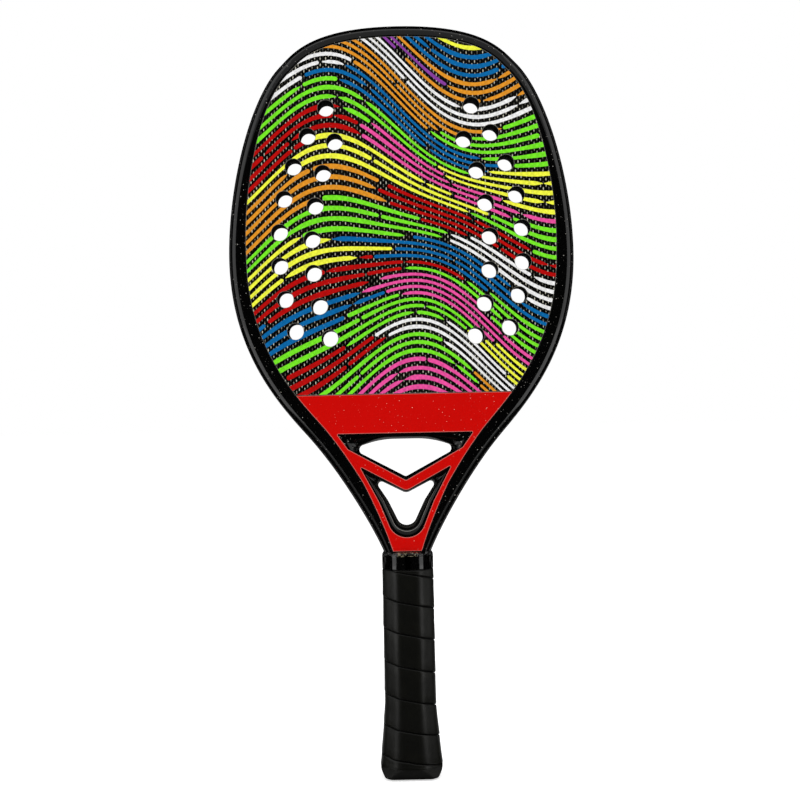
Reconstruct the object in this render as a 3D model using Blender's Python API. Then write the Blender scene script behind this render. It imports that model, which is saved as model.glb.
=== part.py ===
"""Beach tennis racket, upright, head up: the butt stands at z = 0 and the front face looks along -Y.

A hollow moulded tube runs from the handle up one arm, round the head and back down the other arm.
It holds a drilled foam core under two woven skins, and a throat yoke with two openings under two
painted panels. Both arms and the yoke's tongue are clamped in the handle between two half shells,
which a cap closes below and a collar above. A grip strip is wound over the shells and the cap.
"""

import math

import bmesh
import bpy
from mathutils import Matrix, Vector, geometry

# Fits and mesh
GAP = 0.0003               # between pieces that touch
ARC_STEPS = 4              # points along one rounded corner of an opening
HOLE_SIDES = 16
OUTLINE_STEPS = (8, 10, 12, 11)  # stretches of the outline: crown, shoulder, cheek, throat

# Outline of the frame, seen from the front
LENGTH = 0.500             # butt to crown
HEAD_WIDTH = 0.2298
WIDEST_Z = 0.347
SHOULDER_INSET = 0.036     # of the shoulder's 45 degree point, from the side
SHOULDER_DROP = 0.026      # of the same point, from the crown
WAIST_X = 0.062            # where the cheek's curve turns into the throat's
WAIST_Z = 0.2245
WAIST_SLOPE = 40.0         # degrees between the arm and the upright there
CROWN_PULL = 0.0585        # how far each stretch follows its end's direction
SHOULDER_PULLS = (0.0125, 0.028)
WIDEST_PULLS = (0.049, 0.067)
WAIST_PULLS = (0.026, 0.039)
LEG_PULL = 0.0074
LEG_X = 0.0129             # outer side of each leg inside the handle

# Frame tube
THICKNESS = 0.022          # of the head, over both skins
TUBE_WALL = 0.0014
LAP = 0.0028               # ledge that the skins lie on
SKIN = 0.0006              # of the skins and the throat panels
EDGE_ROUND = 0.0075        # rounding of the rim, across the band
EDGE_DEPTH = 0.008         # the same rounding, through the thickness
BAND_CROWN = 0.0080        # bare band of the tube beside the skins
BAND_SIDE = 0.0118
BAND_YOKE = 0.0106
BAND_COLLAR = 0.0058
BAND_CROWN_DROP = 0.055    # where the crown's narrow band ends, from the crown
BAND_YOKE_RISE = 0.040     # where the arm's band starts to narrow, from the collar
LEG_END = 0.0061

# Face, with its two columns of air holes a side
HOLE_D = 0.0109
HOLE_PITCH = 0.0223
OUTER_COLUMN_COUNT = 8
OUTER_COLUMN_INSET = 0.034     # of the column's widest point, from the side
OUTER_COLUMN_RADIUS = 0.1517
OUTER_COLUMN_MIDDLE = 4.55     # place in the column that is level with its centre
INNER_COLUMN_COUNT = 7
INNER_COLUMN_INSET = 0.0558
INNER_COLUMN_RADIUS = 0.1654
INNER_COLUMN_MIDDLE = 3.32
COLUMN_CENTRE_DROP = 0.0265    # of both columns' centres, from the middle of the face's height

# Throat yoke and its openings, at the face and at mid-thickness
BRIDGE_FOOT = 0.229        # top of the upper opening
BRIDGE_DEPTH = 0.016       # of the yoke's bridge above it
PANEL_LAP = 0.010          # how far the throat panels reach over the core
RIB = 0.0042               # strip of the yoke beside the arm's band
BRIDGE_BULGE = 0.0041
UPPER_SIDE = 0.0102        # height of the upper opening's short sides
UPPER_DEPTH = 0.0315       # height of the whole opening
UPPER_TIP_INSET = 0.0146
UPPER_TIP_RISE = 0.0207    # of the clear opening's two tips, from its lowest point
TIP_HEIGHT = 0.0043
ARCH_INSET = 0.0127        # from a tip to where the arch over the opening levels out
STRUT_DEPTH = 0.0069       # of the chevron strut at its middle
STRUT_BULGE = 0.0021
LOWER_SIDE_RISE = 0.0167   # of the lower opening's upper corners, from the strut's underside
LOWER_TIP = (0.0076, 0.0072)   # inwards and downwards, from the face's corner
LOWER_END_RISE = 0.0097    # of the lower opening, from the collar
LOWER_END_BULGE = 0.0075
LOWER_END_INSET = 0.0042
FACE_CORNER_R = 0.0006
UPPER_CLEAR_R = (0.030, 0.0032, 0.0032, 0.0010)    # at mid-thickness: arch, tips and foot
LOWER_TIP_R = (0.0025, 0.0023, 0.02)   # at mid-thickness: notch, tips and sides
LOWER_END_R = (0.0060, 0.0044)
TONGUE_END = 0.060

# Handle, measured over the wound grip
HANDLE_WIDTH = 0.0340
HANDLE_DEPTH = 0.0310
HANDLE_FLAT = 0.0153       # width of the octagon's front flat
HANDLE_CORNER_R = 0.0028
GRIP_THICK = 0.0018
FLARE = 0.0036             # how far the butt stands out each side
FLARE_START = 0.048
COLLAR_TOP = 0.150
COLLAR_HEIGHT = 0.0114
COLLAR_LIP = 0.0012
COLLAR_BREAK = 0.0004      # edge round the collar's top
SHELL_DROP = 0.009         # top of the half shells, below the collar's top

# Wound grip strip
GRIP_PITCH = 0.0207
SEAM_Z = 0.0135            # lowest seam, at the middle of the front
STRIP_TIP = 0.0015         # height of the strip where its ends are cut to a taper
STRIP_EDGE = 0.0005

# Butt cap, its door and its two tacks
CAP_LIP = 0.0074
CAP_FOOT_INSET = 0.0038
CAP_FLOOR = 0.004
SKIRT_TOP = 0.034
WINDOW = (0.010, 0.008, 0.005)     # half width, half depth, half of the front flat
DOOR_RECESS = 0.0005
DOOR_FLANGE = 0.0014       # how far it overlaps the window's edge
DOOR_FLANGE_THICK = 0.0015
CORD_HOLE_D = 0.0034
CORD_HOLE_X = 0.004
CORD_HOLE_SIDES = 12
TACK_Z = 0.022
TACK_SHANK_D = 0.0016
TACK_HEAD_D = 0.0032
TACK_HEAD_THICK = 0.0006
TACK_SIDES = 12

YOKE_TOP = BRIDGE_FOOT + BRIDGE_DEPTH
PRINT_EDGE = YOKE_TOP + PANEL_LAP     # where the skins end and the throat panels begin
CREST = BRIDGE_FOOT - UPPER_DEPTH     # top of the chevron strut at its middle
STRUT_FOOT = CREST - STRUT_DEPTH
HALF = THICKNESS / 2
CORE_HALF = HALF - SKIN - GAP
SHELL_TOP = COLLAR_TOP - SHELL_DROP
COLLAR_BOTTOM = COLLAR_TOP - COLLAR_HEIGHT
GRIP_LOW = CAP_LIP + GAP
GRIP_TOP = COLLAR_BOTTOM - GAP
SHELL_INSET = GRIP_THICK + GAP


# Outline

def heading(degrees):
    """Unit vector in the XZ plane, turned downwards from +X."""
    angle = math.radians(degrees)
    return Vector((math.cos(angle), -math.sin(angle)))


def bezier(start, start_pull, end, end_pull, steps):
    """Points and directions of one stretch, without its first point."""
    a, b, c, d = start, start + start_pull, end - end_pull, end
    out = []
    for i in range(1, steps + 1):
        t = i / steps
        s = 1 - t
        point = a * s**3 + b * 3 * s * s * t + c * 3 * s * t * t + d * t**3
        slope = (b - a) * s * s + (c - b) * 2 * s * t + (d - c) * t * t
        out.append((point, slope.normalized()))
    return out


def half_outline():
    """The right half, from the crown to the end of the leg: points and inward normals."""
    crown = Vector((0, LENGTH))
    shoulder = Vector((HEAD_WIDTH / 2 - SHOULDER_INSET, LENGTH - SHOULDER_DROP))
    widest = Vector((HEAD_WIDTH / 2, WIDEST_Z))
    waist = Vector((WAIST_X, WAIST_Z))
    leg = Vector((LEG_X, SHELL_TOP))
    level, slant, down, arm = heading(0), heading(45), heading(90), heading(90 + WAIST_SLOPE)
    crown_steps, shoulder_steps, cheek_steps, throat_steps = OUTLINE_STEPS
    line = [(crown, level)]
    line += bezier(crown, level * CROWN_PULL, shoulder, slant * SHOULDER_PULLS[0], crown_steps)
    line += bezier(shoulder, slant * SHOULDER_PULLS[1], widest, down * WIDEST_PULLS[0], shoulder_steps)
    line += bezier(widest, down * WIDEST_PULLS[1], waist, arm * WAIST_PULLS[0], cheek_steps)
    line += bezier(waist, arm * WAIST_PULLS[1], leg, down * LEG_PULL, throat_steps)
    line.append((Vector((LEG_X, LEG_END)), down))
    return [(point, Vector((along.y, -along.x))) for point, along in line]


def band_width(z):
    """Width of the tube's bare band, which changes from the crown to the collar."""
    steps = (
        (COLLAR_TOP, BAND_COLLAR),
        (COLLAR_TOP + BAND_YOKE_RISE, BAND_YOKE),
        (WAIST_Z, BAND_SIDE),
        (WIDEST_Z, BAND_SIDE),
        (LENGTH - BAND_CROWN_DROP, BAND_CROWN),
    )
    if z <= steps[0][0]:
        return steps[0][1]
    for (low, narrow), (high, wide) in zip(steps, steps[1:]):
        if z <= high:
            return narrow + (wide - narrow) * (z - low) / (high - low)
    return steps[-1][1]


def inset_line(extra):
    """The right half of a line inside the band, from the crown down."""
    return [point + inward * (band_width(point.y) + extra) for point, inward in half_outline()]


def point_at(line, z):
    """Where a line that runs downwards crosses a height."""
    for above, below in zip(line, line[1:]):
        if above.y >= z >= below.y and above.y > below.y:
            return above.lerp(below, (above.y - z) / (above.y - below.y))
    return Vector((line[-1].x, z))


def between(line, low, high=None):
    """A closed loop, even about x = 0, from the stretch of a line between two heights."""
    right = [p for p in line if p.y > low + GAP and (high is None or p.y < high - GAP)]
    if high is not None:
        right.insert(0, point_at(line, high))
    right.append(point_at(line, low))
    left = [Vector((-p.x, p.y)) for p in reversed(right) if p.x > 0]
    return right + left


# Mesh building

def add_object(name, mesh, material, location=(0, 0, 0), turn=0.0):
    obj = bpy.data.objects.new(name, mesh)
    obj.location = location
    obj.rotation_euler.z = turn
    bpy.context.scene.collection.objects.link(obj)
    if not mesh.materials:
        mesh.materials.append(material)
    return obj


def finish_mesh(name, bm, smooth_under=35.0):
    bmesh.ops.recalc_face_normals(bm, faces=bm.faces[:])
    mesh = bpy.data.meshes.new(name)
    bm.to_mesh(mesh)
    bm.free()
    mesh.shade_smooth()
    mesh.set_sharp_from_angle(angle=math.radians(smooth_under))
    return mesh


def inside(point, loop):
    """Whether a point lies in a closed loop: a ray to +X crosses it an odd number of times."""
    odd = False
    for a, b in zip(loop, loop[1:] + loop[:1]):
        if (a.y > point.y) != (b.y > point.y):
            crossing = a.x + (b.x - a.x) * (point.y - a.y) / (b.y - a.y)
            if crossing > point.x:
                odd = not odd
    return odd


def fill(loops):
    """Triangles between an outline and the holes in it: points, corners and each point's source."""
    points = [p for loop in loops for p in loop]
    edges = []
    for loop in loops:
        first = len(edges)
        edges += [(first + i, first + (i + 1) % len(loop)) for i in range(len(loop))]
    enclosed = 1
    points, _, corners, source, _, _ = geometry.delaunay_2d_cdt(points, edges, [], enclosed, GAP / 1000)
    solid = []
    for face in corners:
        middle = sum((points[i] for i in face), Vector((0, 0))) / 3
        if not any(inside(middle, hole) for hole in loops[1:]):
            solid.append(face)
    return points, solid, source


def plate(name, loops, thick, place):
    """Solid between an outline and its holes; place turns two coordinates into a point."""
    points, corners, _ = fill(loops)
    bm = bmesh.new()
    verts = [bm.verts.new(place(p)) for p in points]
    for face in corners:
        bm.faces.new([verts[i] for i in face])
    lifted = bmesh.ops.extrude_face_region(bm, geom=bm.faces[:])
    moved = [item for item in lifted["geom"] if isinstance(item, bmesh.types.BMVert)]
    bmesh.ops.translate(bm, verts=moved, vec=thick)
    return finish_mesh(name, bm)


def facing(p):
    """Point of a plate that faces along Y."""
    return Vector((p.x, 0, p.y))


def level(p):
    """Point of a plate that lies flat."""
    return Vector((p.x, p.y, 0))


def join_rings(bm, rings, closed):
    pairs = list(zip(rings, rings[1:]))
    if closed:
        pairs.append((rings[-1], rings[0]))
    for one, other in pairs:
        for i, vert in enumerate(one):
            j = (i + 1) % len(one)
            bm.faces.new((vert, one[j], other[j], other[i]))


def ring_solid(name, rings, closed=False):
    """Solid through rings of points: closed like a tyre, or capped at both ends."""
    bm = bmesh.new()
    rows = [[bm.verts.new(p) for p in ring] for ring in rings]
    join_rings(bm, rows, closed)
    if not closed:
        bm.faces.new(rows[0])
        bm.faces.new(rows[-1])
    return finish_mesh(name, bm)


def arc(centre, radii, start, end, count):
    """Points along an ellipse's arc, angles in degrees."""
    out = []
    for i in range(count):
        angle = math.radians(start + (end - start) * i / (count - 1))
        out.append(Vector((centre[0] + radii[0] * math.cos(angle), centre[1] + radii[1] * math.sin(angle))))
    return out


def circle(centre, radius, sides):
    return arc(centre, (radius, radius), 0, 360 - 360 / sides, sides)


def octagon(grow):
    """Handle section as 24 points; grow is its offset from the size over the grip."""
    half_x = HANDLE_WIDTH / 2 + grow
    half_y = HANDLE_DEPTH / 2 + grow
    flat = HANDLE_FLAT / 2 + grow * math.tan(math.radians(22.5))
    return eight_sided(half_x, half_y, flat, HANDLE_CORNER_R + grow)


def eight_sided(half_x, half_y, flat, corner_r):
    """Octagon with 45 degree bevels and rounded corners, three points to a corner."""
    side = half_y - (half_x - flat)
    reach = corner_r * math.tan(math.radians(22.5))
    quarter = []
    for x, y, turn in ((half_x, side, 0), (flat, half_y, 45)):
        start = math.radians(turn)
        ray = Vector((math.cos(start), math.sin(start)))
        across = Vector((-ray.y, ray.x))
        centre = Vector((x, y)) - across * reach - ray * corner_r
        quarter += arc(centre, (corner_r, corner_r), turn, turn + 45, 3)
    return all_quarters(quarter)


def oval(half_x, half_y, round_x, round_y):
    """Rectangle with elliptical corners, as 24 points."""
    return all_quarters(arc((half_x - round_x, half_y - round_y), (round_x, round_y), 0, 90, 6))


def all_quarters(quarter):
    top = quarter + [Vector((-p.x, p.y)) for p in reversed(quarter)]
    return top + [Vector((-p.x, -p.y)) for p in top]


def at_height(points, z):
    return [Vector((p.x, p.y, z)) for p in points]


def rounded_loop(corners, radii):
    """Polygon with an arc at each corner, the same number of points at each."""
    out = []
    count = len(corners)
    for i, corner in enumerate(corners):
        before = (corner - corners[i - 1]).normalized()
        after = (corners[(i + 1) % count] - corner).normalized()
        turn = math.atan2(before.x * after.y - before.y * after.x, before.dot(after))
        start = corner - before * radii[i] * math.tan(abs(turn) / 2)
        side = math.copysign(1, turn)
        centre = start + Vector((-before.y, before.x)) * side * radii[i]
        for k in range(ARC_STEPS):
            out.append(centre + Matrix.Rotation(turn * k / (ARC_STEPS - 1), 2) @ (start - centre))
    return out


def cutter(name, mesh, target):
    """A hidden solid that a Boolean takes out of its target."""
    obj = bpy.data.objects.new(name, mesh)
    bpy.context.scene.collection.objects.link(obj)
    obj.hide_render = True
    obj.display_type = "WIRE"
    cut = target.modifiers.new(name, "BOOLEAN")
    cut.operation = "DIFFERENCE"
    cut.solver = "EXACT"
    cut.object = obj
    return obj


def pin_rings(steps, sides):
    """Circles along Y, from pairs of y and radius."""
    return [[Vector((p.x, y, p.y)) for p in circle((0, 0), radius, sides)] for y, radius in steps]


def principled(name, colour, roughness, metallic=0.0):
    material = bpy.data.materials.new(name)
    material.use_nodes = True
    shader = material.node_tree.nodes["Principled BSDF"]
    shader.inputs["Base Color"].default_value = (*colour, 1.0)
    shader.inputs["Roughness"].default_value = roughness
    shader.inputs["Metallic"].default_value = metallic
    return material


# Frame tube

def tube_half_depth(z):
    """Half thickness of the tube: full in the head and throat, as the core inside the handle."""
    share = min(max((z - SHELL_TOP) / (COLLAR_TOP - COLLAR_LIP - SHELL_TOP), 0.0), 1.0)
    return CORE_HALF + (HALF - CORE_HALF) * share


def tube_section(z):
    """Outer and inner loops of the tube's wall: distance inwards from the outline, and y."""
    band = band_width(z)
    deep = tube_half_depth(z)
    ledge = deep - SKIN - GAP
    round_u = min(EDGE_ROUND, band - GAP)
    centre = (round_u, deep - EDGE_DEPTH)
    side = arc(centre, (round_u, EDGE_DEPTH), 180, 90, 5)
    side += [Vector((band, deep)), Vector((band, ledge)), Vector((band + LAP, ledge))]
    hollow = arc(centre, (round_u - TUBE_WALL, EDGE_DEPTH - TUBE_WALL), 180, 90, 4)
    hollow.append(Vector((band + LAP - TUBE_WALL, ledge - TUBE_WALL)))
    return mirror_section(side), mirror_section(hollow)


def mirror_section(side):
    return side + [Vector((p.x, -p.y)) for p in reversed(side)]


def build_frame_tube(material):
    right = half_outline()
    left = [(Vector((-p.x, p.y)), Vector((-n.x, n.y))) for p, n in reversed(right[1:])]
    bm = bmesh.new()
    skins = ([], [])
    for point, inward in left + right:
        for rows, loop in zip(skins, tube_section(point.y)):
            flat = [point + inward * p.x for p in loop]
            rows.append([bm.verts.new((f.x, p.y, f.y)) for f, p in zip(flat, loop)])
    for rows in skins:
        join_rings(bm, rows, closed=False)
    for end in (0, -1):
        rim = skins[0][end] + skins[1][end]
        loops = [[Vector((v.co.x, v.co.y)) for v in rows[end]] for rows in skins]
        _, corners, source = fill(loops)
        for face in corners:
            bm.faces.new([rim[source[i][0]] for i in face])
    return add_object("frame_tube", finish_mesh("frame_tube", bm, 50.0), material)


# Head

def hole_centres():
    """Both columns on the right, each evenly spaced on an arc, and their mirror images."""
    out = []
    columns = (
        (OUTER_COLUMN_COUNT, OUTER_COLUMN_INSET, OUTER_COLUMN_RADIUS, OUTER_COLUMN_MIDDLE),
        (INNER_COLUMN_COUNT, INNER_COLUMN_INSET, INNER_COLUMN_RADIUS, INNER_COLUMN_MIDDLE),
    )
    for count, inset, radius, middle in columns:
        middle_z = (LENGTH + PRINT_EDGE) / 2 - COLUMN_CENTRE_DROP
        centre = Vector((HEAD_WIDTH / 2 - inset - radius, middle_z))
        for i in range(count):
            angle = (middle - i) * HOLE_PITCH / radius
            point = centre + Vector((math.cos(angle), math.sin(angle))) * radius
            out += [point, Vector((-point.x, point.y))]
    return out


def hole_loops():
    return [circle(centre, HOLE_D / 2, HOLE_SIDES) for centre in hole_centres()]


def build_head(core_material, skin_material):
    core_loop = between(inset_line(LAP + GAP), YOKE_TOP + GAP)
    core = plate("eva_core", [core_loop] + hole_loops(), Vector((0, 2 * CORE_HALF, 0)), facing)
    add_object("eva_core", core, core_material, (0, -CORE_HALF, 0))
    skin_loop = between(inset_line(GAP), PRINT_EDGE + GAP / 2)
    skin = plate("face_skin", [skin_loop] + hole_loops(), Vector((0, SKIN, 0)), facing)
    add_object("front_face_skin", skin, skin_material, (0, -HALF, 0))
    add_object("rear_face_skin", skin, skin_material, (0, HALF - SKIN, 0))


# Throat

def even(points):
    """Right-hand corners, running downwards, with their mirror images on the left."""
    return points + [Vector((-p.x, p.y)) for p in reversed(points) if p.x > 0]


def upper_opening():
    """Corners and radii of the upper opening, at the face and at mid-thickness."""
    rib = inset_line(RIB)
    top, corner = point_at(rib, BRIDGE_FOOT), point_at(rib, BRIDGE_FOOT - UPPER_SIDE)
    low, high = CREST + STRUT_BULGE, BRIDGE_FOOT - BRIDGE_BULGE
    tip_x, tip_z = top.x - UPPER_TIP_INSET, low + UPPER_TIP_RISE
    arch_x = tip_x - ARCH_INSET
    face = [Vector((arch_x, BRIDGE_FOOT)), top, corner, Vector((0, CREST))]
    tip = [Vector((tip_x, tip_z)), Vector((tip_x, tip_z - TIP_HEIGHT))]
    middle = [Vector((arch_x, high))] + tip + [Vector((0, low))]
    face_r = [FACE_CORNER_R] * 4
    middle_r = list(UPPER_CLEAR_R)
    return even(face), even(middle), face_r, middle_r


def lower_opening():
    """The same for the lower opening, whose top follows the chevron strut."""
    rib = inset_line(RIB)
    corner, end = point_at(rib, STRUT_FOOT + LOWER_SIDE_RISE), point_at(rib, COLLAR_TOP + LOWER_END_RISE)
    side = point_at(rib, (corner.y + end.y) / 2)
    tip = corner - Vector(LOWER_TIP)
    clear_end = end + Vector((-LOWER_END_INSET, LOWER_END_BULGE))
    clear_side = side + (tip - corner + clear_end - end) / 2
    face = [Vector((0, STRUT_FOOT)), corner, side, end]
    middle = [Vector((0, STRUT_FOOT - STRUT_BULGE)), tip, clear_side, clear_end]
    face_r = [FACE_CORNER_R] * 3 + [LOWER_END_R[0]]
    middle_r = [*LOWER_TIP_R, LOWER_END_R[1]]
    return even(face), even(middle), face_r, middle_r


def both_sides(radii, on_axis_first):
    """Radii in the order of the corners that even() makes."""
    mirrored = radii[1:] if on_axis_first else radii[:-1]
    return radii + list(reversed(mirrored))


def opening_rings(face, middle, face_r, middle_r):
    """Rings of an opening's wall through the thickness, rounded over from each face."""
    quarter = (0, 22.5, 45, 67.5, 90)
    rings = []
    for side in (-1, 1):
        half = []
        for angle in quarter:
            share = math.sin(math.radians(angle))
            depth = CORE_HALF * math.cos(math.radians(angle))
            corners = [a.lerp(b, share) for a, b in zip(face, middle)]
            radii = [a + (b - a) * share for a, b in zip(face_r, middle_r)]
            half.append([Vector((p.x, side * depth, p.y)) for p in rounded_loop(corners, radii)])
        beyond = [Vector((p.x, side * (HALF + GAP), p.z)) for p in half[0]]
        half.insert(0, beyond)
        rings += half if side < 0 else list(reversed(half))[1:]
    return rings


def build_throat(yoke_material, panel_material):
    openings = []
    for corners, on_axis_first in ((upper_opening(), False), (lower_opening(), True)):
        face, middle, *radii = corners
        face_r, middle_r = (both_sides(r, on_axis_first) for r in radii)
        openings.append((face, middle, face_r, middle_r))
    inner = inset_line(LAP + GAP)
    loop = between(inner, TONGUE_END, YOKE_TOP)
    yoke = plate("throat_yoke", [loop], Vector((0, 2 * CORE_HALF, 0)), facing)
    yoke = add_object("throat_yoke", yoke, yoke_material, (0, -CORE_HALF, 0))
    for name, opening in zip(("upper_opening", "lower_opening"), openings):
        cutter(name, ring_solid(name, opening_rings(*opening)), yoke)
    panel_loop = between(inset_line(GAP), COLLAR_TOP + SKIN, PRINT_EDGE - GAP / 2)
    edges = [rounded_loop(face, face_r) for face, _, face_r, _ in openings]
    panel = plate("throat_panel", [panel_loop] + edges, Vector((0, SKIN, 0)), facing)
    add_object("front_throat_panel", panel, panel_material, (0, -HALF, 0))
    add_object("rear_throat_panel", panel, panel_material, (0, HALF - SKIN, 0))


# Handle

def leg_bore():
    """Section of the space that the half shells leave for both legs and the tongue."""
    return oval(LEG_X + GAP, CORE_HALF + GAP, min(EDGE_ROUND, BAND_COLLAR - GAP) + GAP, EDGE_DEPTH + GAP)


def tack_cutter(name, target, side, wall_y):
    """Takes the tack's hole and the seat of its head out of one piece."""
    steps = [
        (wall_y + GRIP_THICK, TACK_HEAD_D / 2 + GAP),
        (wall_y - TACK_HEAD_THICK - GAP, TACK_HEAD_D / 2 + GAP),
        (wall_y - TACK_HEAD_THICK - GAP, TACK_SHANK_D / 2 + GAP),
        (tack_tip() - GAP, TACK_SHANK_D / 2 + GAP),
    ]
    hole = cutter(name, ring_solid(name, pin_rings(steps, TACK_SIDES)), target)
    hole.location = (0, 0, TACK_Z)
    hole.rotation_euler.z = 0 if side > 0 else math.pi


def skirt_y():
    """How far the cap's skirt stands out at the height of the tacks."""
    return HANDLE_DEPTH / 2 - SHELL_INSET + flare(TACK_Z)


def tack_tip():
    """Tip of a tack, part way through the half shell's front wall."""
    outer = HANDLE_DEPTH / 2 - SHELL_INSET
    return (outer + CORE_HALF + GAP) / 2


def build_shells(material):
    outer = [p for p in octagon(-SHELL_INSET) if p.y > 0]
    inner = [p for p in leg_bore() if p.y > 0]
    seam = GAP / 2
    ends_out = [Vector((outer[0].x, seam))] + outer + [Vector((outer[-1].x, seam))]
    ends_in = [Vector((inner[-1].x, seam))] + inner[::-1] + [Vector((inner[0].x, seam))]
    base = CAP_FLOOR + GAP
    shell = plate("handle_shell", [ends_out + ends_in], Vector((0, 0, SHELL_TOP - base)), level)
    for name, side in (("handle_shell_rear", 1), ("handle_shell_front", -1)):
        turn = 0 if side > 0 else math.pi
        obj = add_object(name, shell, material, (0, 0, base), turn)
        tack_cutter(name + "_tack_hole", obj, side, skirt_y())


def build_collar(material):
    shell = octagon(-SHELL_INSET + GAP)
    arms = point_at([p for p, _ in half_outline()], COLLAR_TOP).x
    throat = oval(arms + GAP, HALF + GAP, min(EDGE_ROUND, BAND_COLLAR - GAP) + GAP, EDGE_DEPTH + GAP)
    rings = [
        at_height(octagon(0), 0),
        at_height(octagon(0), COLLAR_HEIGHT - COLLAR_BREAK),
        at_height(octagon(-COLLAR_BREAK), COLLAR_HEIGHT),
        at_height(throat, COLLAR_HEIGHT),
        at_height(throat, COLLAR_HEIGHT - COLLAR_LIP),
        at_height(shell, COLLAR_HEIGHT - SHELL_DROP + GAP),
        at_height(shell, 0),
    ]
    mesh = ring_solid("grip_collar", rings, closed=True)
    add_object("grip_collar", mesh, material, (0, 0, COLLAR_BOTTOM))


def flare(z):
    """How far the butt stands out at a height."""
    share = (FLARE_START - z) / (FLARE_START - CAP_LIP)
    return FLARE * min(max(share, 0.0), 1.0)


def build_cap(cap_material, door_material):
    window = eight_sided(*WINDOW, FACE_CORNER_R)
    bore = octagon(-SHELL_INSET + GAP)
    rings = [
        at_height(octagon(FLARE - CAP_FOOT_INSET), 0),
        at_height(octagon(FLARE), CAP_LIP),
        at_height(octagon(FLARE - SHELL_INSET), CAP_LIP),
        at_height(octagon(flare(SKIRT_TOP) - SHELL_INSET), SKIRT_TOP),
        at_height(bore, SKIRT_TOP),
        at_height(bore, CAP_FLOOR),
        at_height(window, CAP_FLOOR),
        at_height(window, 0),
    ]
    cap = add_object("butt_cap", ring_solid("butt_cap", rings, closed=True), cap_material)
    for name, side in (("rear_tack_seat", 1), ("front_tack_seat", -1)):
        tack_cutter(name, cap, side, skirt_y())

    half_x, half_y, flat = WINDOW
    plug = eight_sided(half_x - GAP, half_y - GAP, flat, FACE_CORNER_R)
    flange = eight_sided(half_x + DOOR_FLANGE, half_y + DOOR_FLANGE, flat, FACE_CORNER_R)
    step = CAP_FLOOR + GAP - DOOR_RECESS
    top = step + DOOR_FLANGE_THICK
    rings = [at_height(plug, 0), at_height(plug, step), at_height(flange, step), at_height(flange, top)]
    door = add_object("cap_door", ring_solid("cap_door", rings), door_material, (0, 0, DOOR_RECESS))
    for name, side in (("right_cord_hole", 1), ("left_cord_hole", -1)):
        loop = circle((0, 0), CORD_HOLE_D / 2, CORD_HOLE_SIDES)
        hole = cutter(name, plate(name, [loop], Vector((0, 0, 3 * top)), level), door)
        hole.location = (side * CORD_HOLE_X, 0, -top)


def build_tacks(material):
    head = skirt_y() - GAP / 2
    steps = [
        (head, TACK_HEAD_D / 2),
        (head - TACK_HEAD_THICK, TACK_HEAD_D / 2),
        (head - TACK_HEAD_THICK, TACK_SHANK_D / 2),
        (tack_tip() + TACK_SHANK_D / 2, TACK_SHANK_D / 2),
        (tack_tip(), TACK_SHANK_D / 8),
    ]
    mesh = ring_solid("cap_tack", pin_rings(steps, TACK_SIDES))
    add_object("cap_tack_rear", mesh, material, (0, 0, TACK_Z))
    add_object("cap_tack_front", mesh, material, (0, 0, TACK_Z), math.pi)


# Wound grip

def build_grip(material):
    """One strip, wound upwards from the butt: it falls from left to right across the front."""
    section = octagon(0)
    count = len(section)
    lengths = [(section[i] - section[i - 1]).length for i in range(count)]
    around = sum(lengths)
    to_front = 0.25

    def place(step):
        """Ring index and turns wound, for a step along the strip; whole turns end at +X."""
        index = -step % count
        whole = step // count
        wound = sum(lengths[(count - k) % count] for k in range(step % count)) / around
        return index, whole + wound

    def foot(turns):
        return SEAM_Z + (turns - to_front) * GRIP_PITCH

    def skin_point(index, z, inset):
        p = octagon(flare(z) - inset)[index]
        return Vector((p.x, p.y, z))

    rows = []
    first = -2 * count
    last = int((GRIP_TOP - SEAM_Z) / GRIP_PITCH + 2) * count
    for step in range(first, last):
        index, turns = place(step)
        low = max(foot(turns), GRIP_LOW)
        high = min(foot(turns) + GRIP_PITCH - GAP, GRIP_TOP)
        if high - low < STRIP_TIP:
            continue
        rows.append([
            skin_point(index, low, GRIP_THICK),
            skin_point(index, low, STRIP_EDGE),
            skin_point(index, low + STRIP_EDGE, 0),
            skin_point(index, high - STRIP_EDGE, 0),
            skin_point(index, high, STRIP_EDGE),
            skin_point(index, high, GRIP_THICK),
        ])
    add_object("grip_strip", ring_solid("grip_strip", rows), material)


def clear_scene():
    for obj in list(bpy.data.objects):
        bpy.data.objects.remove(obj, do_unlink=True)


def main():
    clear_scene()
    lacquer = principled("black_lacquer", (0.012, 0.012, 0.013), 0.22)
    weave = principled("woven_skin", (0.030, 0.029, 0.026), 0.35)
    foam = principled("black_foam", (0.020, 0.020, 0.020), 0.85)
    red = principled("red_lacquer", (0.62, 0.012, 0.008), 0.25)
    moulding = principled("handle_moulding", (0.030, 0.030, 0.030), 0.60)
    gloss = principled("collar_gloss", (0.010, 0.010, 0.010), 0.12)
    rubber = principled("cap_rubber", (0.018, 0.018, 0.017), 0.60)
    hard = principled("door_plastic", (0.022, 0.022, 0.022), 0.45)
    wrap = principled("grip_wrap", (0.017, 0.017, 0.016), 0.55)
    steel = principled("tack_steel", (0.60, 0.60, 0.58), 0.30, 1.0)

    build_frame_tube(lacquer)
    build_head(foam, weave)
    build_throat(lacquer, red)
    build_shells(moulding)
    build_collar(gloss)
    build_cap(rubber, hard)
    build_tacks(steel)
    build_grip(wrap)


main()
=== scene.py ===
"""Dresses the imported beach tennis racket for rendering. It stands upright and its front looks along -Y.

Each operator makes one piece of the racket, or a group of like pieces, round the fixed CAD frame.
The outline, the handle's section and the openings follow the same curves as the CAD source, with
finer steps, so every piece sits where its CAD node is.
"""

import math
import random

import bmesh
import bpy
from bpy.props import FloatProperty, FloatVectorProperty, IntProperty, PointerProperty
from mathutils import Matrix, Vector, geometry, noise


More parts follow.
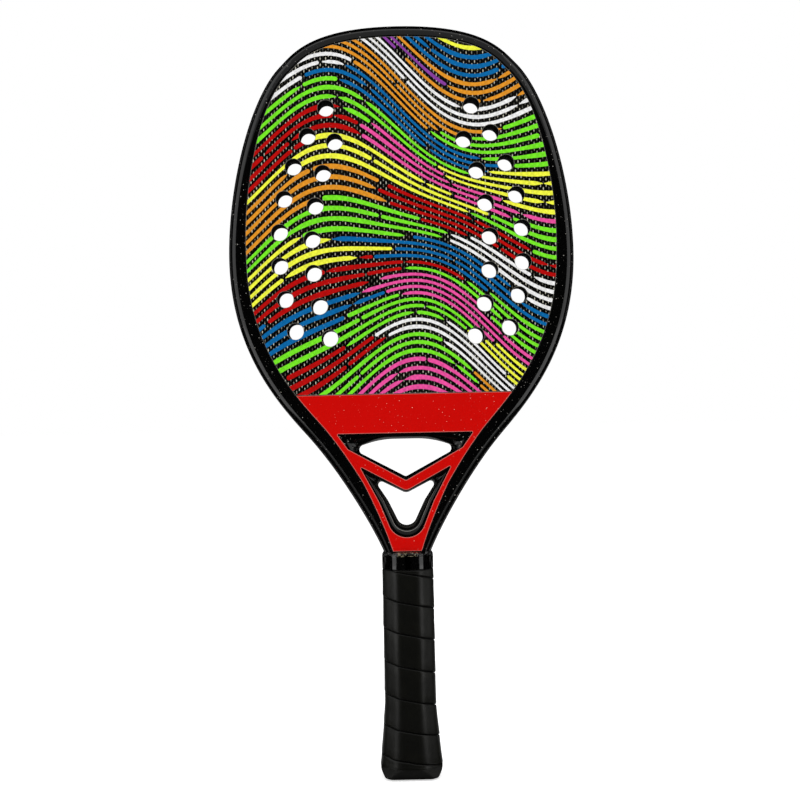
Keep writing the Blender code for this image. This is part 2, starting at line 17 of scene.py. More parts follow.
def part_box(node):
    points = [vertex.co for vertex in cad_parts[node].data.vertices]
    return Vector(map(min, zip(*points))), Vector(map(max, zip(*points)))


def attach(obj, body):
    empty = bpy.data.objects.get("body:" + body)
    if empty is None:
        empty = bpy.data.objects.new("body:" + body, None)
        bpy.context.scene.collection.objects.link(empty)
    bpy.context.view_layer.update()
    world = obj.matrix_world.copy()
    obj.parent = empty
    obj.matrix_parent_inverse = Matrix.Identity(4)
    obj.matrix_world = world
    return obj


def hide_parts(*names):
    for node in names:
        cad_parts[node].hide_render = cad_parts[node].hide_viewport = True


bl_info = {
    "name": "Beach tennis racket",
    "version": (1, 0, 0),
    "blender": (4, 5, 0),
    "location": "3D View > Sidebar > Racket",
    "description": "Makes the racket's lacquered frame, printed faces, throat, collar and wound grip",
    "category": "Object",
}

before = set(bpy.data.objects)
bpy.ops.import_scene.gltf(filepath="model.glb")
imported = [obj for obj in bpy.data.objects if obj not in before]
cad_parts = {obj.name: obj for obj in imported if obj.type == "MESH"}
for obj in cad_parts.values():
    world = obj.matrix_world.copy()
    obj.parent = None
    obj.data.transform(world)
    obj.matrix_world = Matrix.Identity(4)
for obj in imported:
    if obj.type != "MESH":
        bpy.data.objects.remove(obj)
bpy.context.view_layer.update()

# Fits and mesh
GAP = 0.0003               # between pieces that touch
OUTLINE_STEPS = (32, 40, 48, 44)   # stretches of the outline: crown, shoulder, cheek, throat
RIM_POINTS = 12            # across one rounded edge of the tube
HOLE_SIDES = 48
CORNER_POINTS = 10         # round one corner of a throat opening
WALL_STEPS = 10            # from a face of the throat to the middle of its thickness
OCTAGON_POINTS = 6         # round one corner of the handle
CLOSE = 1e-7               # points nearer than this are one
EDGE_HIGHLIGHT_WIDTH = 0.0003         # width of the painted highlight line along a sheet's edge
BEVEL = math.tan(math.radians(22.5))   # half of a 45 degree turn, as a slope

# Outline of the frame, seen from the front
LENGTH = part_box("frame_tube")[1].z
HEAD_WIDTH = 2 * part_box("frame_tube")[1].x
WIDEST_Z = 0.347
SHOULDER_INSET = 0.036
SHOULDER_DROP = 0.026
WAIST_X = 0.062
WAIST_Z = 0.2245
WAIST_SLOPE = 40.0
CROWN_PULL = 0.0585
SHOULDER_PULLS = (0.0125, 0.028)
WIDEST_PULLS = (0.049, 0.067)
WAIST_PULLS = (0.026, 0.039)
LEG_PULL = 0.0074
LEG_X = 0.0129

# Frame tube
THICKNESS = 0.022
TUBE_WALL = 0.0014
LAP = 0.0028               # ledge that the skins lie on
SKIN = 0.0006
EDGE_ROUND = 0.0075        # rounding of the rim, across the band
EDGE_DEPTH = 0.008         # the same rounding, through the thickness
BAND_CROWN = 0.0080        # bare band of the tube beside the skins
BAND_SIDE = 0.0118
BAND_YOKE = 0.0106
BAND_COLLAR = 0.0058
BAND_CROWN_DROP = 0.055
BAND_YOKE_RISE = 0.040
LEG_END = 0.0061

# Air holes, in two columns a side
HOLE_PITCH = 0.0223
OUTER_COLUMN = (8, 0.034, 0.1517, 4.55)    # count, inset from the side, radius, level place
INNER_COLUMN = (7, 0.0558, 0.1654, 3.32)
COLUMN_CENTRE_DROP = 0.0265

# Throat
BRIDGE_FOOT = 0.229        # top of the upper opening
BRIDGE_DEPTH = 0.016
PANEL_LAP = 0.010
RIB = 0.0042
BRIDGE_BULGE = 0.0041
UPPER_SIDE = 0.0102
UPPER_DEPTH = 0.0315
UPPER_TIP_INSET = 0.0146
UPPER_TIP_RISE = 0.0207
TIP_HEIGHT = 0.0043
ARCH_INSET = 0.0138
STRUT_DEPTH = 0.0069
STRUT_BULGE = 0.0021
LOWER_SIDE_RISE = 0.0167
LOWER_TIP = (0.0076, 0.0072)
LOWER_END_RISE = 0.0097
LOWER_END_BULGE = 0.0075
LOWER_END_INSET = 0.0042
UPPER_FACE_R = (0.0006, 0.0006, 0.0006, 0.0020)     # arch, top corners, sides and the strut's crest
UPPER_CLEAR_R = (0.060, 0.0032, 0.0032, 0.0022)
LOWER_FACE_R = (0.0050, 0.0006, 0.02, 0.0124)       # notch, top corners, sides and end
LOWER_CLEAR_R = (0.0050, 0.0023, 0.02, 0.0067)
TONGUE_END = 0.060

# Handle, measured over the wound grip
HANDLE_WIDTH = 0.0340
HANDLE_DEPTH = 0.0310
HANDLE_FLAT = 0.0153
HANDLE_CORNER_R = 0.0028
GRIP_THICK = 0.0018
FLARE = 0.0036
FLARE_START = 0.048
COLLAR_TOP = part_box("grip_collar")[1].z
COLLAR_HEIGHT = 0.0114
COLLAR_LIP = 0.0012
SHELL_DROP = 0.009
SEAM_Z = 0.0115            # lowest seam of the grip, at the middle of the front
STRIP_TIP = 0.0003         # where the strip gets narrower than this, it ends
SEAM_SWING = 1.1           # how far the winding's unevenness moves on in one turn, in radians
SEAM_START = 0.33          # how far it lies behind at the lowest seam
GRIP_LUMPS = 0.00014       # soft lumps of the wrap
CAP_LIP = 0.0074
FOOT_PROFILE = (            # up the butt's foot: height, and how far its sides and its front draw in
    (0.0, 0.0080, 0.0080),
    (0.0004, 0.0052, 0.0044),
    (0.0009, 0.0036, 0.0017),
    (0.0014, 0.0031, 0.0007),
    (0.0023, 0.0025, 0.0002),
    (0.0040, 0.0014, 0.0),
    (0.0053, 0.0006, 0.0),
    (0.0064, 0.0002, 0.0),
)
CAP_FLOOR = 0.004
FOOT_FLAT = 0.78           # share of the foot's width that its front edge runs straight
FOOT_FADE = 1.4            # how fast the foot's squarer outline fades out further up
SKIRT_TOP = 0.034
WINDOW = (0.010, 0.008, 0.005)      # half width, half depth and half flat of the floor's window
WINDOW_R = 0.0006

YOKE_TOP = BRIDGE_FOOT + BRIDGE_DEPTH
PRINT_EDGE = YOKE_TOP + PANEL_LAP
CREST = BRIDGE_FOOT - UPPER_DEPTH
STRUT_FOOT = CREST - STRUT_DEPTH
HALF = THICKNESS / 2
CORE_HALF = HALF - SKIN - GAP
SHELL_TOP = COLLAR_TOP - SHELL_DROP
COLLAR_BOTTOM = COLLAR_TOP - COLLAR_HEIGHT
GRIP_LOW = CAP_LIP + GAP / 10
GRIP_TOP = COLLAR_BOTTOM - GAP
SHELL_INSET = GRIP_THICK + GAP

# Marks in the finishes, painted reflections and highlights among them
PAINTED_SHEEN_DEPTHS = (0.0054, 0.0066)     # from mid-thickness: where the band of painted sheen on an opening's wall ends
PAINTED_HIGHLIGHT_DEPTH = 0.0086                 # from mid-thickness: the fine line of painted highlight beside it
COLLAR_HIGHLIGHT_DEPTHS = (0.0030, 0.0024)      # below the collar's top: the band of painted highlight along its rounded edge
PUCKER_DEPTHS = (0.0034, 0.0010)    # below the collar's top: the shrunk film's wrinkles

# Studio
HANDS = (("left", -1), ("right", 1))
FLOOR_HOLE = 0.001         # radii of the two rings of floor cards round the butt
NEAR_FLOOR = 0.42
FAR_FLOOR = 2.4

# Printed stripes
STRIPE_STEP = 0.0005       # between two points along a line
WAVE_START = 0.9           # angle of the long wave at the middle of the lowest line
WAVE_DRIFT = 0.045         # and how far it moves on from one line to the next
RIPPLE_START = 2.1
RIPPLE_DRIFT = -0.11
RAGGED = 0.022             # how far a change of ink strays from line to line
SHORTEST = 0.004           # a stripe shorter than this isn't ended by a change of ink
PATCH_REACH = 0.034        # distance along a line that counts as much as one line up or down
TAPER_REACH = 3.4          # length of a thin end, in half widths
TAPER_TIP = 0.16           # share of the width that is left at its tip
ROUND_TIP = 0.06           # the same at the tip of a round end, squared
INK_WOBBLE = 0.22          # share by which a stripe's width varies
INK_SUNK = 0.00002         # how far the ink reaches into the skin
INK_NAMES = ("blue", "lime", "orange", "red", "yellow", "pink", "purple", "white")
INK_SHARES = (16, 34, 13, 16, 15, 10, 6, 7)


def srgb(red, green, blue):
    """Linear colour from the 0 to 255 values that a picture editor shows."""
    shares = (value / 255 for value in (red, green, blue))
    return tuple(v / 12.92 if v <= 0.04045 else ((v + 0.055) / 1.055) ** 2.4 for v in shares)


# Settings

def length(name, description, default):
    return FloatProperty(name=name, description=description, default=default, min=0.0,
                         precision=5, subtype="DISTANCE", unit="LENGTH")


def colour(name, description, *values):
    return FloatVectorProperty(name=name, description=description, default=srgb(*values),
                               min=0.0, max=1.0, size=3, subtype="COLOR")


def brightness(name, description, default):
    """How bright a part of the studio is: 1 is white."""
    return FloatProperty(name=name, description=description, default=default, min=0.0, max=2.0)


def wattage(name, description, default):
    """Power of a lamp, in watts."""
    return FloatProperty(name=name, description=description, default=default, min=0.0,
                         subtype="POWER", unit="POWER")


class RacketShape(bpy.types.PropertyGroup):
    """Sizes of the small forms."""

    hole_diameter: length("Air hole", "Diameter of an air hole", 0.0109)
    sheet_edge: length("Sheet edge", "Rounding round the skins, the panels and the air holes", 0.00016)
    collar_edge: length("Collar edge", "Rounding of the collar's top edge", 0.0026)
    collar_corner: length("Collar corner", "Rounding of the collar's upright corners", 0.0142)
    grip_pitch: length("Grip pitch", "Rise of the grip strip in one turn", 0.0207)
    grip_step: length("Grip step", "How far the lower edge of a turn stands over the turn below", 0.00022)
    grip_corner: length("Grip corner", "Rounding of the wound grip's upright corners", 0.0080)
    grip_edge: length("Grip edge", "Rounding along the strip's edges", 0.0008)
    grip_groove: length("Grip groove", "Depth of the groove between two turns", 0.0009)
    grip_uneven: length("Grip unevenness", "How far a turn may lie from its even place", 0.0011)


class RacketPrint(bpy.types.PropertyGroup):
    """Layout and colours of the printed stripes."""

    pitch: length("Pitch", "Height from one stripe to the next", 0.0057)
    wave_height: length("Wave height", "How far the stripes swing up and down", 0.034)
    wave_length: length("Wave length", "Distance between two crests", 0.262)
    ripple_height: length("Ripple height", "Height of the short ripple on the long wave", 0.0056)
    ripple_length: length("Ripple length", "Distance between two crests of the ripple", 0.118)
    break_length: length("Break", "Bare gap between two stripes in one line", 0.0017)
    longest: length("Longest stripe", "A stripe is cut where it would grow longer", 0.120)
    ink_height: length("Ink height", "How far the ink stands over the weave", 0.00005)
    fill: FloatProperty(name="Fill", description="Share of the pitch that the ink covers",
                        default=0.47, min=0.1, max=0.95, subtype="FACTOR")
    seed: IntProperty(name="Seed", description="Picks the colours and the lengths", default=455)
    blue: colour("Blue", "Ink", 0, 106, 172)
    lime: colour("Lime", "Ink", 122, 240, 38)
    orange: colour("Orange", "Ink", 234, 152, 38)
    red: colour("Red", "Ink", 190, 2, 0)
    yellow: colour("Yellow", "Ink", 251, 255, 68)
    pink: colour("Pink", "Ink", 244, 83, 165)
    purple: colour("Purple", "Ink", 142, 64, 163)
    white: colour("White", "Ink", 246, 246, 246)


class RacketFinish(bpy.types.PropertyGroup):
    """Colours of the materials, and the scale of the weave."""

    lacquer: colour("Lacquer", "Gloss lacquer of the frame and the openings", 4, 4, 4)
    speck: colour("Specks", "Metal flakes in the lacquer", 190, 186, 178)
    weave_dark: colour("Weave", "Dark yarn of the skins", 3, 3, 2)
    # Painted glint: the light that the yarn catches where it comes up, put into the weave's colour.
    weave_painted_glint: colour("Weave glint", "Where the light yarn comes up", 228, 225, 206)
    throat: colour("Throat", "Lacquer of the throat panels", 201, 6, 2)
    foam: colour("Foam", "Core, seen in the air holes", 18, 18, 18)
    grip: colour("Grip", "Wound strip", 14, 14, 10)
    rubber: colour("Cap", "Rubber of the butt cap", 14, 14, 12)
    plastic: colour("Plastic", "Half shells and door inside the handle", 34, 34, 34)
    steel: colour("Steel", "Tacks of the cap", 190, 190, 186)
    weave_across: length("Weave across", "Distance between two glints in a row", 0.00365)
    weave_along: length("Weave along", "Distance between two glints in a column", 0.00405)


class RacketStudio(bpy.types.PropertyGroup):
    """Camera, lamps, floor and backdrop."""

    camera_place: FloatVectorProperty(name="Camera", description="Where the camera stands",
                                      default=(-0.0029, -1.0, 0.2508), size=3, subtype="TRANSLATION")
    camera_roll: FloatProperty(name="Roll", description="Turn of the camera about its own line of sight",
                               default=math.radians(1.188), subtype="ANGLE", unit="ROTATION")
    lens: FloatProperty(name="Lens", description="Focal length for a 36 mm sensor",
                        default=67.22, min=1.0, subtype="DISTANCE_CAMERA", unit="CAMERA")
    side_lamps: wattage("Side lamps", "Power of each side panel", 8.0)
    top_lamp: wattage("Top lamp", "Power of the panel overhead", 9.0)
    rear_lamp: wattage("Rear lamp", "Power of the panel behind", 9.0)
    strips: brightness("Strips", "Level of the bright strips in reflections", 1.1)
    sheen: brightness("Sheen", "Level of the upper front in reflections", 0.42)
    glow: brightness("Glow", "Level of the rear of the studio in reflections", 0.16)
    ambient: brightness("Ambient", "Level of the light from all round", 0.62)
    floor: colour("Floor", "Floor and background", 252, 252, 252)


# Outline

def heading(degrees):
    """Unit vector in the XZ plane, turned downwards from +X."""
    angle = math.radians(degrees)
    return Vector((math.cos(angle), -math.sin(angle)))


def bezier(start, start_pull, end, end_pull, steps):
    """Points and directions of one stretch, without its first point."""
    a, b, c, d = start, start + start_pull, end - end_pull, end
    out = []
    for i in range(1, steps + 1):
        t = i / steps
        s = 1 - t
        point = a * s**3 + b * 3 * s * s * t + c * 3 * s * t * t + d * t**3
        slope = (b - a) * s * s + (c - b) * 2 * s * t + (d - c) * t * t
        out.append((point, slope.normalized()))
    return out


def half_outline():
    """The right half, from the crown to the end of the leg: points and inward normals."""
    crown = Vector((0, LENGTH))
    shoulder = Vector((HEAD_WIDTH / 2 - SHOULDER_INSET, LENGTH - SHOULDER_DROP))
    widest = Vector((HEAD_WIDTH / 2, WIDEST_Z))
    waist = Vector((WAIST_X, WAIST_Z))
    leg = Vector((LEG_X, SHELL_TOP))
    across, slant, down, arm = heading(0), heading(45), heading(90), heading(90 + WAIST_SLOPE)
    crown_steps, shoulder_steps, cheek_steps, throat_steps = OUTLINE_STEPS
    line = [(crown, across)]
    line += bezier(crown, across * CROWN_PULL, shoulder, slant * SHOULDER_PULLS[0], crown_steps)
    line += bezier(shoulder, slant * SHOULDER_PULLS[1], widest, down * WIDEST_PULLS[0], shoulder_steps)
    line += bezier(widest, down * WIDEST_PULLS[1], waist, arm * WAIST_PULLS[0], cheek_steps)
    line += bezier(waist, arm * WAIST_PULLS[1], leg, down * LEG_PULL, throat_steps)
    line.append((Vector((LEG_X, LEG_END)), down))
    return [(point, Vector((along.y, -along.x))) for point, along in line]


def band_width(z):
    """Width of the tube's bare band, which changes from the crown to the collar."""
    steps = (
        (COLLAR_TOP, BAND_COLLAR),
        (COLLAR_TOP + BAND_YOKE_RISE, BAND_YOKE),
        (WAIST_Z, BAND_SIDE),
        (WIDEST_Z, BAND_SIDE),
        (LENGTH - BAND_CROWN_DROP, BAND_CROWN),
    )
    if z <= steps[0][0]:
        return steps[0][1]
    for (low, narrow), (high, wide) in zip(steps, steps[1:]):
        if z <= high:
            return narrow + (wide - narrow) * (z - low) / (high - low)
    return steps[-1][1]


def inset_line(extra):
    """The right half of a line inside the band, from the crown down."""
    return [point + inward * (band_width(point.y) + extra) for point, inward in half_outline()]


def point_at(line, z):
    """Where a line that runs downwards crosses a height."""
    for above, below in zip(line, line[1:]):
        if above.y >= z >= below.y and above.y > below.y:
            return above.lerp(below, (above.y - z) / (above.y - below.y))
    return Vector((line[-1].x, z))


def mirrored(point):
    """The same place on the other side of the racket's middle."""
    return Vector((-point.x, point.y))


def between(line, low, high=None):
    """A closed loop, even about x = 0, from the stretch of a line between two heights."""
    right = [p for p in line if p.y > low + GAP and (high is None or p.y < high - GAP)]
    if high is not None:
        right.insert(0, point_at(line, high))
    right.append(point_at(line, low))
    return right + [mirrored(p) for p in reversed(right) if p.x > 0]


def hole_centres():
    """Both columns on the right, each evenly spaced on an arc, and their mirror images."""
    out = []
    middle_z = (LENGTH + PRINT_EDGE) / 2 - COLUMN_CENTRE_DROP
    for count, side_inset, radius, level_place in (OUTER_COLUMN, INNER_COLUMN):
        centre = Vector((HEAD_WIDTH / 2 - side_inset - radius, middle_z))
        for i in range(count):
            angle = (level_place - i) * HOLE_PITCH / radius
            point = centre + Vector((math.cos(angle), math.sin(angle))) * radius
            out += [point, mirrored(point)]
    return out


# Loops and sections

def arc(centre, radii, start, end, count):
    """Points along an ellipse's arc, angles in degrees."""
    out = []
    for i in range(count):
        angle = math.radians(start + (end - start) * i / (count - 1))
        out.append(Vector((centre[0] + radii[0] * math.cos(angle), centre[1] + radii[1] * math.sin(angle))))
    return out


def circle(centre, radius, sides):
    return arc(centre, (radius, radius), 0, 360 - 360 / sides, sides)


def rounded_loop(corners, radii):
    """Polygon with an arc at each corner, the same number of points at each."""
    out = []
    count = len(corners)
    for i, corner in enumerate(corners):
        before = (corner - corners[i - 1]).normalized()
        after = (corners[(i + 1) % count] - corner).normalized()
        turn = math.atan2(before.x * after.y - before.y * after.x, before.dot(after))
        start = corner - before * radii[i] * math.tan(abs(turn) / 2)
        side = math.copysign(1, turn)
        centre = start + Vector((-before.y, before.x)) * side * radii[i]
        for k in range(CORNER_POINTS):
            share = k / (CORNER_POINTS - 1)
            out.append(centre + Matrix.Rotation(turn * share, 2) @ (start - centre))
    return out


def all_quarters(quarter):
    top = quarter + [mirrored(p) for p in reversed(quarter)]
    return top + [-p for p in top]


def eight_sided(half_x, half_y, flat, corner_r):
    """Octagon with 45 degree bevels and rounded corners."""
    side = half_y - (half_x - flat)
    reach = corner_r * BEVEL
    quarter = []
    for x, y, turn in ((half_x, side, 0), (flat, half_y, 45)):
        start, leave = math.radians(turn), math.radians(turn + 45)
        ray = Vector((math.cos(start), math.sin(start)))
        across = Vector((-ray.y, ray.x))
        beyond = Vector((-math.sin(leave), math.cos(leave)))
        centre = Vector((x, y)) - across * reach - ray * corner_r
        bend = arc(centre, (corner_r, corner_r), turn, turn + 45, OCTAGON_POINTS)
        quarter += [bend[0] - across * corner_r / 4] + bend + [bend[-1] + beyond * corner_r / 4]
    return all_quarters(quarter)


def octagon(grow, corner_r=HANDLE_CORNER_R):
    """Handle section; grow is its offset from the size over the grip."""
    flat = HANDLE_FLAT / 2 + grow * BEVEL
    return eight_sided(HANDLE_WIDTH / 2 + grow, HANDLE_DEPTH / 2 + grow, flat, corner_r + grow)


def oval(half_x, half_y, round_x, round_y):
    """Rectangle with elliptical corners, with as many points as the octagon."""
    count = 2 * (OCTAGON_POINTS + 2)
    corner = arc((half_x - round_x, half_y - round_y), (round_x, round_y), 0, 90, count)
    return all_quarters(corner)


def clamp(share):
    """The nearest number from 0 to 1."""
    return min(max(share, 0.0), 1.0)


def flare(z):
    """How far the butt stands out at a height."""
    return FLARE * clamp((FLARE_START - z) / (FLARE_START - CAP_LIP))


class Region:
    """A closed loop of points, with its box and a test of what lies in it."""

    def __init__(self, loop):
        self.loop = loop
        self.edges = list(zip(loop, loop[1:] + loop[:1]))
        xs, ys = [p.x for p in loop], [p.y for p in loop]
        self.left, self.right, self.low, self.high = min(xs), max(xs), min(ys), max(ys)

    def near(self, other):
        """Whether the boxes round two regions overlap."""
        beside = self.left <= other.right and other.left <= self.right
        return beside and self.low <= other.high and other.low <= self.high

    def holds(self, point):
        """Whether a point lies in the loop: a ray to +X crosses it an odd number of times."""
        if not (self.left <= point.x <= self.right and self.low <= point.y <= self.high):
            return False
        odd = False
        for a, b in self.edges:
            if (a.y > point.y) != (b.y > point.y):
                if a.x + (b.x - a.x) * (point.y - a.y) / (b.y - a.y) > point.x:
                    odd = not odd
        return odd


def shrink(loop, distance, hole):
    """Moves a plate's edge into the plate: an outline gets smaller and a hole wider."""
    area = sum(a.x * b.y - b.x * a.y for a, b in zip(loop, loop[1:] + loop[:1]))
    side = math.copysign(distance, area) * (-1 if hole else 1)
    out = []
    for i, point in enumerate(loop):
        before = (point - loop[i - 1]).normalized()
        after = (loop[(i + 1) % len(loop)] - point).normalized()
        square = Vector((-before.y - after.y, before.x + after.x))
        out.append(point + square * side / max(1 + before.dot(after), 0.5))
    return out


def inset(loops, distance):
    """All the edges of a plate, its outline first, moved into the plate."""
    return [shrink(loop, distance, hole=i > 0) for i, loop in enumerate(loops)]


def triangles(loops, extent, keep):
    """Triangles between loops whose middles pass a test: points, faces and the points' sources."""
    points, edges = [], []
    for loop in loops:
        first = len(points)
        points += loop
        edges += [(first + i, first + (i + 1) % len(loop)) for i in range(len(loop))]
    found, _, faces, sources, _, _ = geometry.delaunay_2d_cdt(points, edges, [], extent, CLOSE)
    kept = [face for face in faces if keep(sum((found[i] for i in face), Vector((0, 0))) / 3)]
    return found, kept, sources


def fill(loops):
    """Triangles between an outline and the holes in it, as indices into all the loops' points."""
    holes = [Region(loop) for loop in loops[1:]]
    enclosed = 1
    _, faces, sources = triangles(loops, enclosed, lambda p: not any(hole.holds(p) for hole in holes))
    return [[sources[i][0] for i in face] for face in faces]


# Meshes

def join_rings(bm, rings, closed=False):
    pairs = list(zip(rings, rings[1:]))
    if closed:
        pairs.append((rings[-1], rings[0]))
    for one, other in pairs:
        for i, vert in enumerate(one):
            j = (i + 1) % len(one)
            bm.faces.new((vert, one[j], other[j], other[i]))


def upright_ring(sections):
    """Solid like a tyre, through pairs of a section and its height."""
    bm = bmesh.new()
    rings = [[bm.verts.new((p.x, p.y, z)) for p in section] for section, z in sections]
    join_rings(bm, rings, closed=True)
    return bm


def lofted_plate(levels):
    """Solid from the same loops at several depths: pairs of y and loops, the outline first."""
    bm = bmesh.new()
    rows = [[[bm.verts.new((p.x, y, p.y)) for p in loop] for loop in loops] for y, loops in levels]
    for rings in zip(*rows):
        join_rings(bm, rings)
    for end in (0, -1):
        rim = [vert for ring in rows[end] for vert in ring]
        for face in fill(levels[end][1]):
            bm.faces.new([rim[i] for i in face])
    return bm


def thin_sheet(loops, back, front, edge):
    """Sheet whose front edges are rounded over, and marked where its material paints a highlight along
    them.
    """
    toward = math.copysign(edge, front - back)
    levels = [(back, loops)]
    for angle in (0, 45, 90):
        turn = math.radians(angle)
        drawn_in = inset(loops, edge * (1 - math.cos(turn)))
        levels.append((front - toward * (1 - math.sin(turn)), drawn_in))
    levels.append((front, inset(loops, edge + EDGE_HIGHLIGHT_WIDTH)))
    bm = lofted_plate(levels)
    # Marks the rounded edge, where the material paints a highlight.
    layer = bm.verts.layers.float.new("edge")
    inner = sum(len(loop) for loop in loops)
    for vert in list(bm.verts)[:-inner]:
        vert[layer] = 1.0
    return bm


def finished(name, bm, material, smooth_under=35.0):
    bmesh.ops.recalc_face_normals(bm, faces=bm.faces[:])
    mesh = bpy.data.meshes.new(name)
    bm.to_mesh(mesh)
    bm.free()
    mesh.shade_smooth()
    mesh.set_sharp_from_angle(angle=math.radians(smooth_under))
    mesh.materials.append(material)
    return mesh


def turned(mesh):
    """A copy for the back of the racket: half a turn about the handle's axis."""
    copy = mesh.copy()
    copy.transform(Matrix.Rotation(math.pi, 4, "Z"))
    return copy


def add_piece(name, mesh, slot, *nodes):
    """A piece of the racket: it rides on the racket's one body and stands for its CAD nodes."""
    piece = bpy.data.objects.new(name, mesh)
    bpy.context.scene.collection.objects.link(piece)
    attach(piece, "root")
    if nodes:
        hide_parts(*nodes)


# Materials

class Field:
    """A number, colour or vector that varies over a surface. Operators add Math nodes to numbers."""

    def __init__(self, surface, socket):
        self.surface = surface
        self.socket = socket

    def math(self, operation, *others):
        return self.surface.math(operation, self, *others)

    def __add__(self, other):
        return self.math("ADD", other)

    def __sub__(self, other):
        return self.math("SUBTRACT", other)

    def __rsub__(self, other):
        return self.surface.math("SUBTRACT", other, self)

    def __mul__(self, other):
        return self.math("MULTIPLY", other)

    def __truediv__(self, other):
        return self.math("DIVIDE", other)

    def __pow__(self, other):
        return self.math("POWER", other)

    __radd__ = __add__
    __rmul__ = __mul__


class Surface:
    """One node tree, with the method that adds any node to it."""

    def __init__(self, tree):
        self.tree = tree

    def add(self, kind, settings=None, values=None, out=0):
        """Adds a node: its settings first, then the values or links of its sockets."""
        node = self.tree.nodes.new(kind)
        for name, setting in (settings or {}).items():
            setattr(node, name, setting)
        for key, value in (values or {}).items():
            if isinstance(value, Field):
                self.tree.links.new(value.socket, node.inputs[key])
            else:
                node.inputs[key].default_value = value
        return Field(self, node.outputs[out])

    def outputs(self, field):
        """All the outputs of a field's node, by name."""
        return {output.name: Field(self, output) for output in field.socket.node.outputs}

    def show(self, shader):
        """Makes a shader the one that the tree puts out."""
        output = next(node for node in self.tree.nodes if "OUTPUT" in node.type)
        self.tree.links.new(shader.socket, output.inputs["Surface"])

    def math(self, operation, *values):
        return self.add("ShaderNodeMath", {"operation": operation}, dict(enumerate(values)))

    def mix(self, share, one, other):
        """Colour between two colours."""
        first, second = (c if isinstance(c, Field) else (*c, 1.0) for c in (one, other))
        return self.add("ShaderNodeMix", {"data_type": "RGBA"}, {0: share, 6: first, 7: second}, 2)

    def place(self):
        """Where a point lies, in metres, in the racket's own frame."""
        return self.add("ShaderNodeTexCoord", out="Object")

    def axes(self, vector=None):
        """The three numbers of a vector, or of a point's place."""
        parts = self.add("ShaderNodeSeparateXYZ", None, {0: vector or self.place()})
        return list(self.outputs(parts).values())

    def smooth(self, value, low, high):
        """0 below low, 1 above high, and a soft rise between."""
        settings = {"interpolation_type": "SMOOTHSTEP"}
        return self.add("ShaderNodeMapRange", settings, {"Value": value, "From Min": low, "From Max": high})

    def cloud(self, size, detail=2.0):
        """Soft random patches of a size in metres, from 0 to 1."""
        values = {"Vector": self.place(), "Scale": 1 / size, "Detail": detail}
        return self.add("ShaderNodeTexNoise", None, values)

    def cells(self, size, feature="SMOOTH_F1"):
        """Random cells of a size in metres: how far a point lies from a cell's middle."""
        values = {"Vector": self.place(), "Scale": 1 / size}
        return self.add("ShaderNodeTexVoronoi", {"feature": feature}, values)

    def dots(self, spacing, radius):
        """Scattered round dots: 1 in a dot, less in some of them, and 0 between."""
        found = self.outputs(self.cells(spacing, "F1"))
        strength = self.axes(found["Color"])[0]
        return (1 - self.smooth(found["Distance"], 0.5 * radius / spacing, radius / spacing)) * strength

    def ovals(self, u, v, wide, tall):
        """Soft ovals at the middle of each unit cell of two coordinates: 1 at their centres."""
        across = ((u.math("FRACT") - 0.5) / wide) ** 2
        along = ((v.math("FRACT") - 0.5) / tall) ** 2
        return 1 - self.smooth((across + along).math("SQRT"), 0.35, 1.0)

    def weave(self, look, wide, tall, shift=0.0):
        """Ovals at every other crossing of a plain weave, where one yarn comes up over the other."""
        x, _, z = self.axes()
        u = x / look.weave_across + 1000 + shift
        v = z / look.weave_along
        return self.ovals(u, v, wide, tall).math("MAXIMUM", self.ovals(u + 0.5, v + 0.5, wide, tall))

    def edges(self):
        """1 along the edges that the mesh marks, and 0 away from them."""
        return self.add("ShaderNodeAttribute", {"attribute_name": "edge"}, out="Fac")

    def bump(self, height, distance, strength=1.0, normal=None):
        values = {"Height": height, "Distance": distance, "Strength": strength}
        if normal is not None:
            values["Normal"] = normal
        return self.add("ShaderNodeBump", None, values)


class Finish(Surface):
    """A material round one Principled shader, whose own sockets hold what is the same all over."""

    def __init__(self, name, colour, roughness, specular=0.5, **sockets):
        self.material = bpy.data.materials.new(name)
        self.material.use_nodes = True
        self.material.diffuse_color = (*colour, 1.0)
        super().__init__(self.material.node_tree)
        self.shader = self.tree.nodes["Principled BSDF"]
        sockets.update(Base_Color=(*colour, 1.0), Roughness=roughness, Specular_IOR_Level=specular)
        for socket, value in sockets.items():
            self.shader.inputs[socket.replace("_", " ")].default_value = value

    def vary(self, colour, roughness, normal):
        """Links what varies over the surface to the shader, and gives the finished material."""
        for socket, field in (("Base Color", colour), ("Roughness", roughness), ("Normal", normal)):
            self.tree.links.new(field.socket, self.shader.inputs[socket])
        return self.material


def scaled(colour, share):
    return tuple(value * share for value in colour)


def lacquer_finish(name, colour, speck, spacing, radius, roughness, specular, uneven=0.1,
                   dress=None, pucker=0.0):
    """Gloss lacquer with fine metal flakes, faint flow marks and dust in the clear coat."""
    finish = Finish(name, colour, roughness, specular)
    flow = finish.cloud(0.03, 3.0)
    body = finish.mix(flow, scaled(colour, 1 - uneven), scaled(colour, 1 + uneven))
    if dress:
        body = dress(finish, body)
    fine = finish.dots(spacing * 0.62, radius * 0.42) * 0.4
    body = finish.mix(finish.dots(spacing, radius).math("MAXIMUM", fine), body, speck)
    ripple = finish.bump(finish.cloud(0.009, 1.0), 0.00010, 0.35)
    if pucker:
        shrunk = finish.smooth(finish.axes()[2], *(COLLAR_TOP - depth for depth in PUCKER_DEPTHS))
        ripple = finish.bump(finish.cloud(0.0024) * shrunk, pucker, 0.7, ripple)
    dust = finish.cloud(0.0011)
    rough = dust * 0.04 + flow * 0.03 + roughness
    return finish.vary(body, rough, finish.bump(dust, 0.00002, 0.3, ripple))


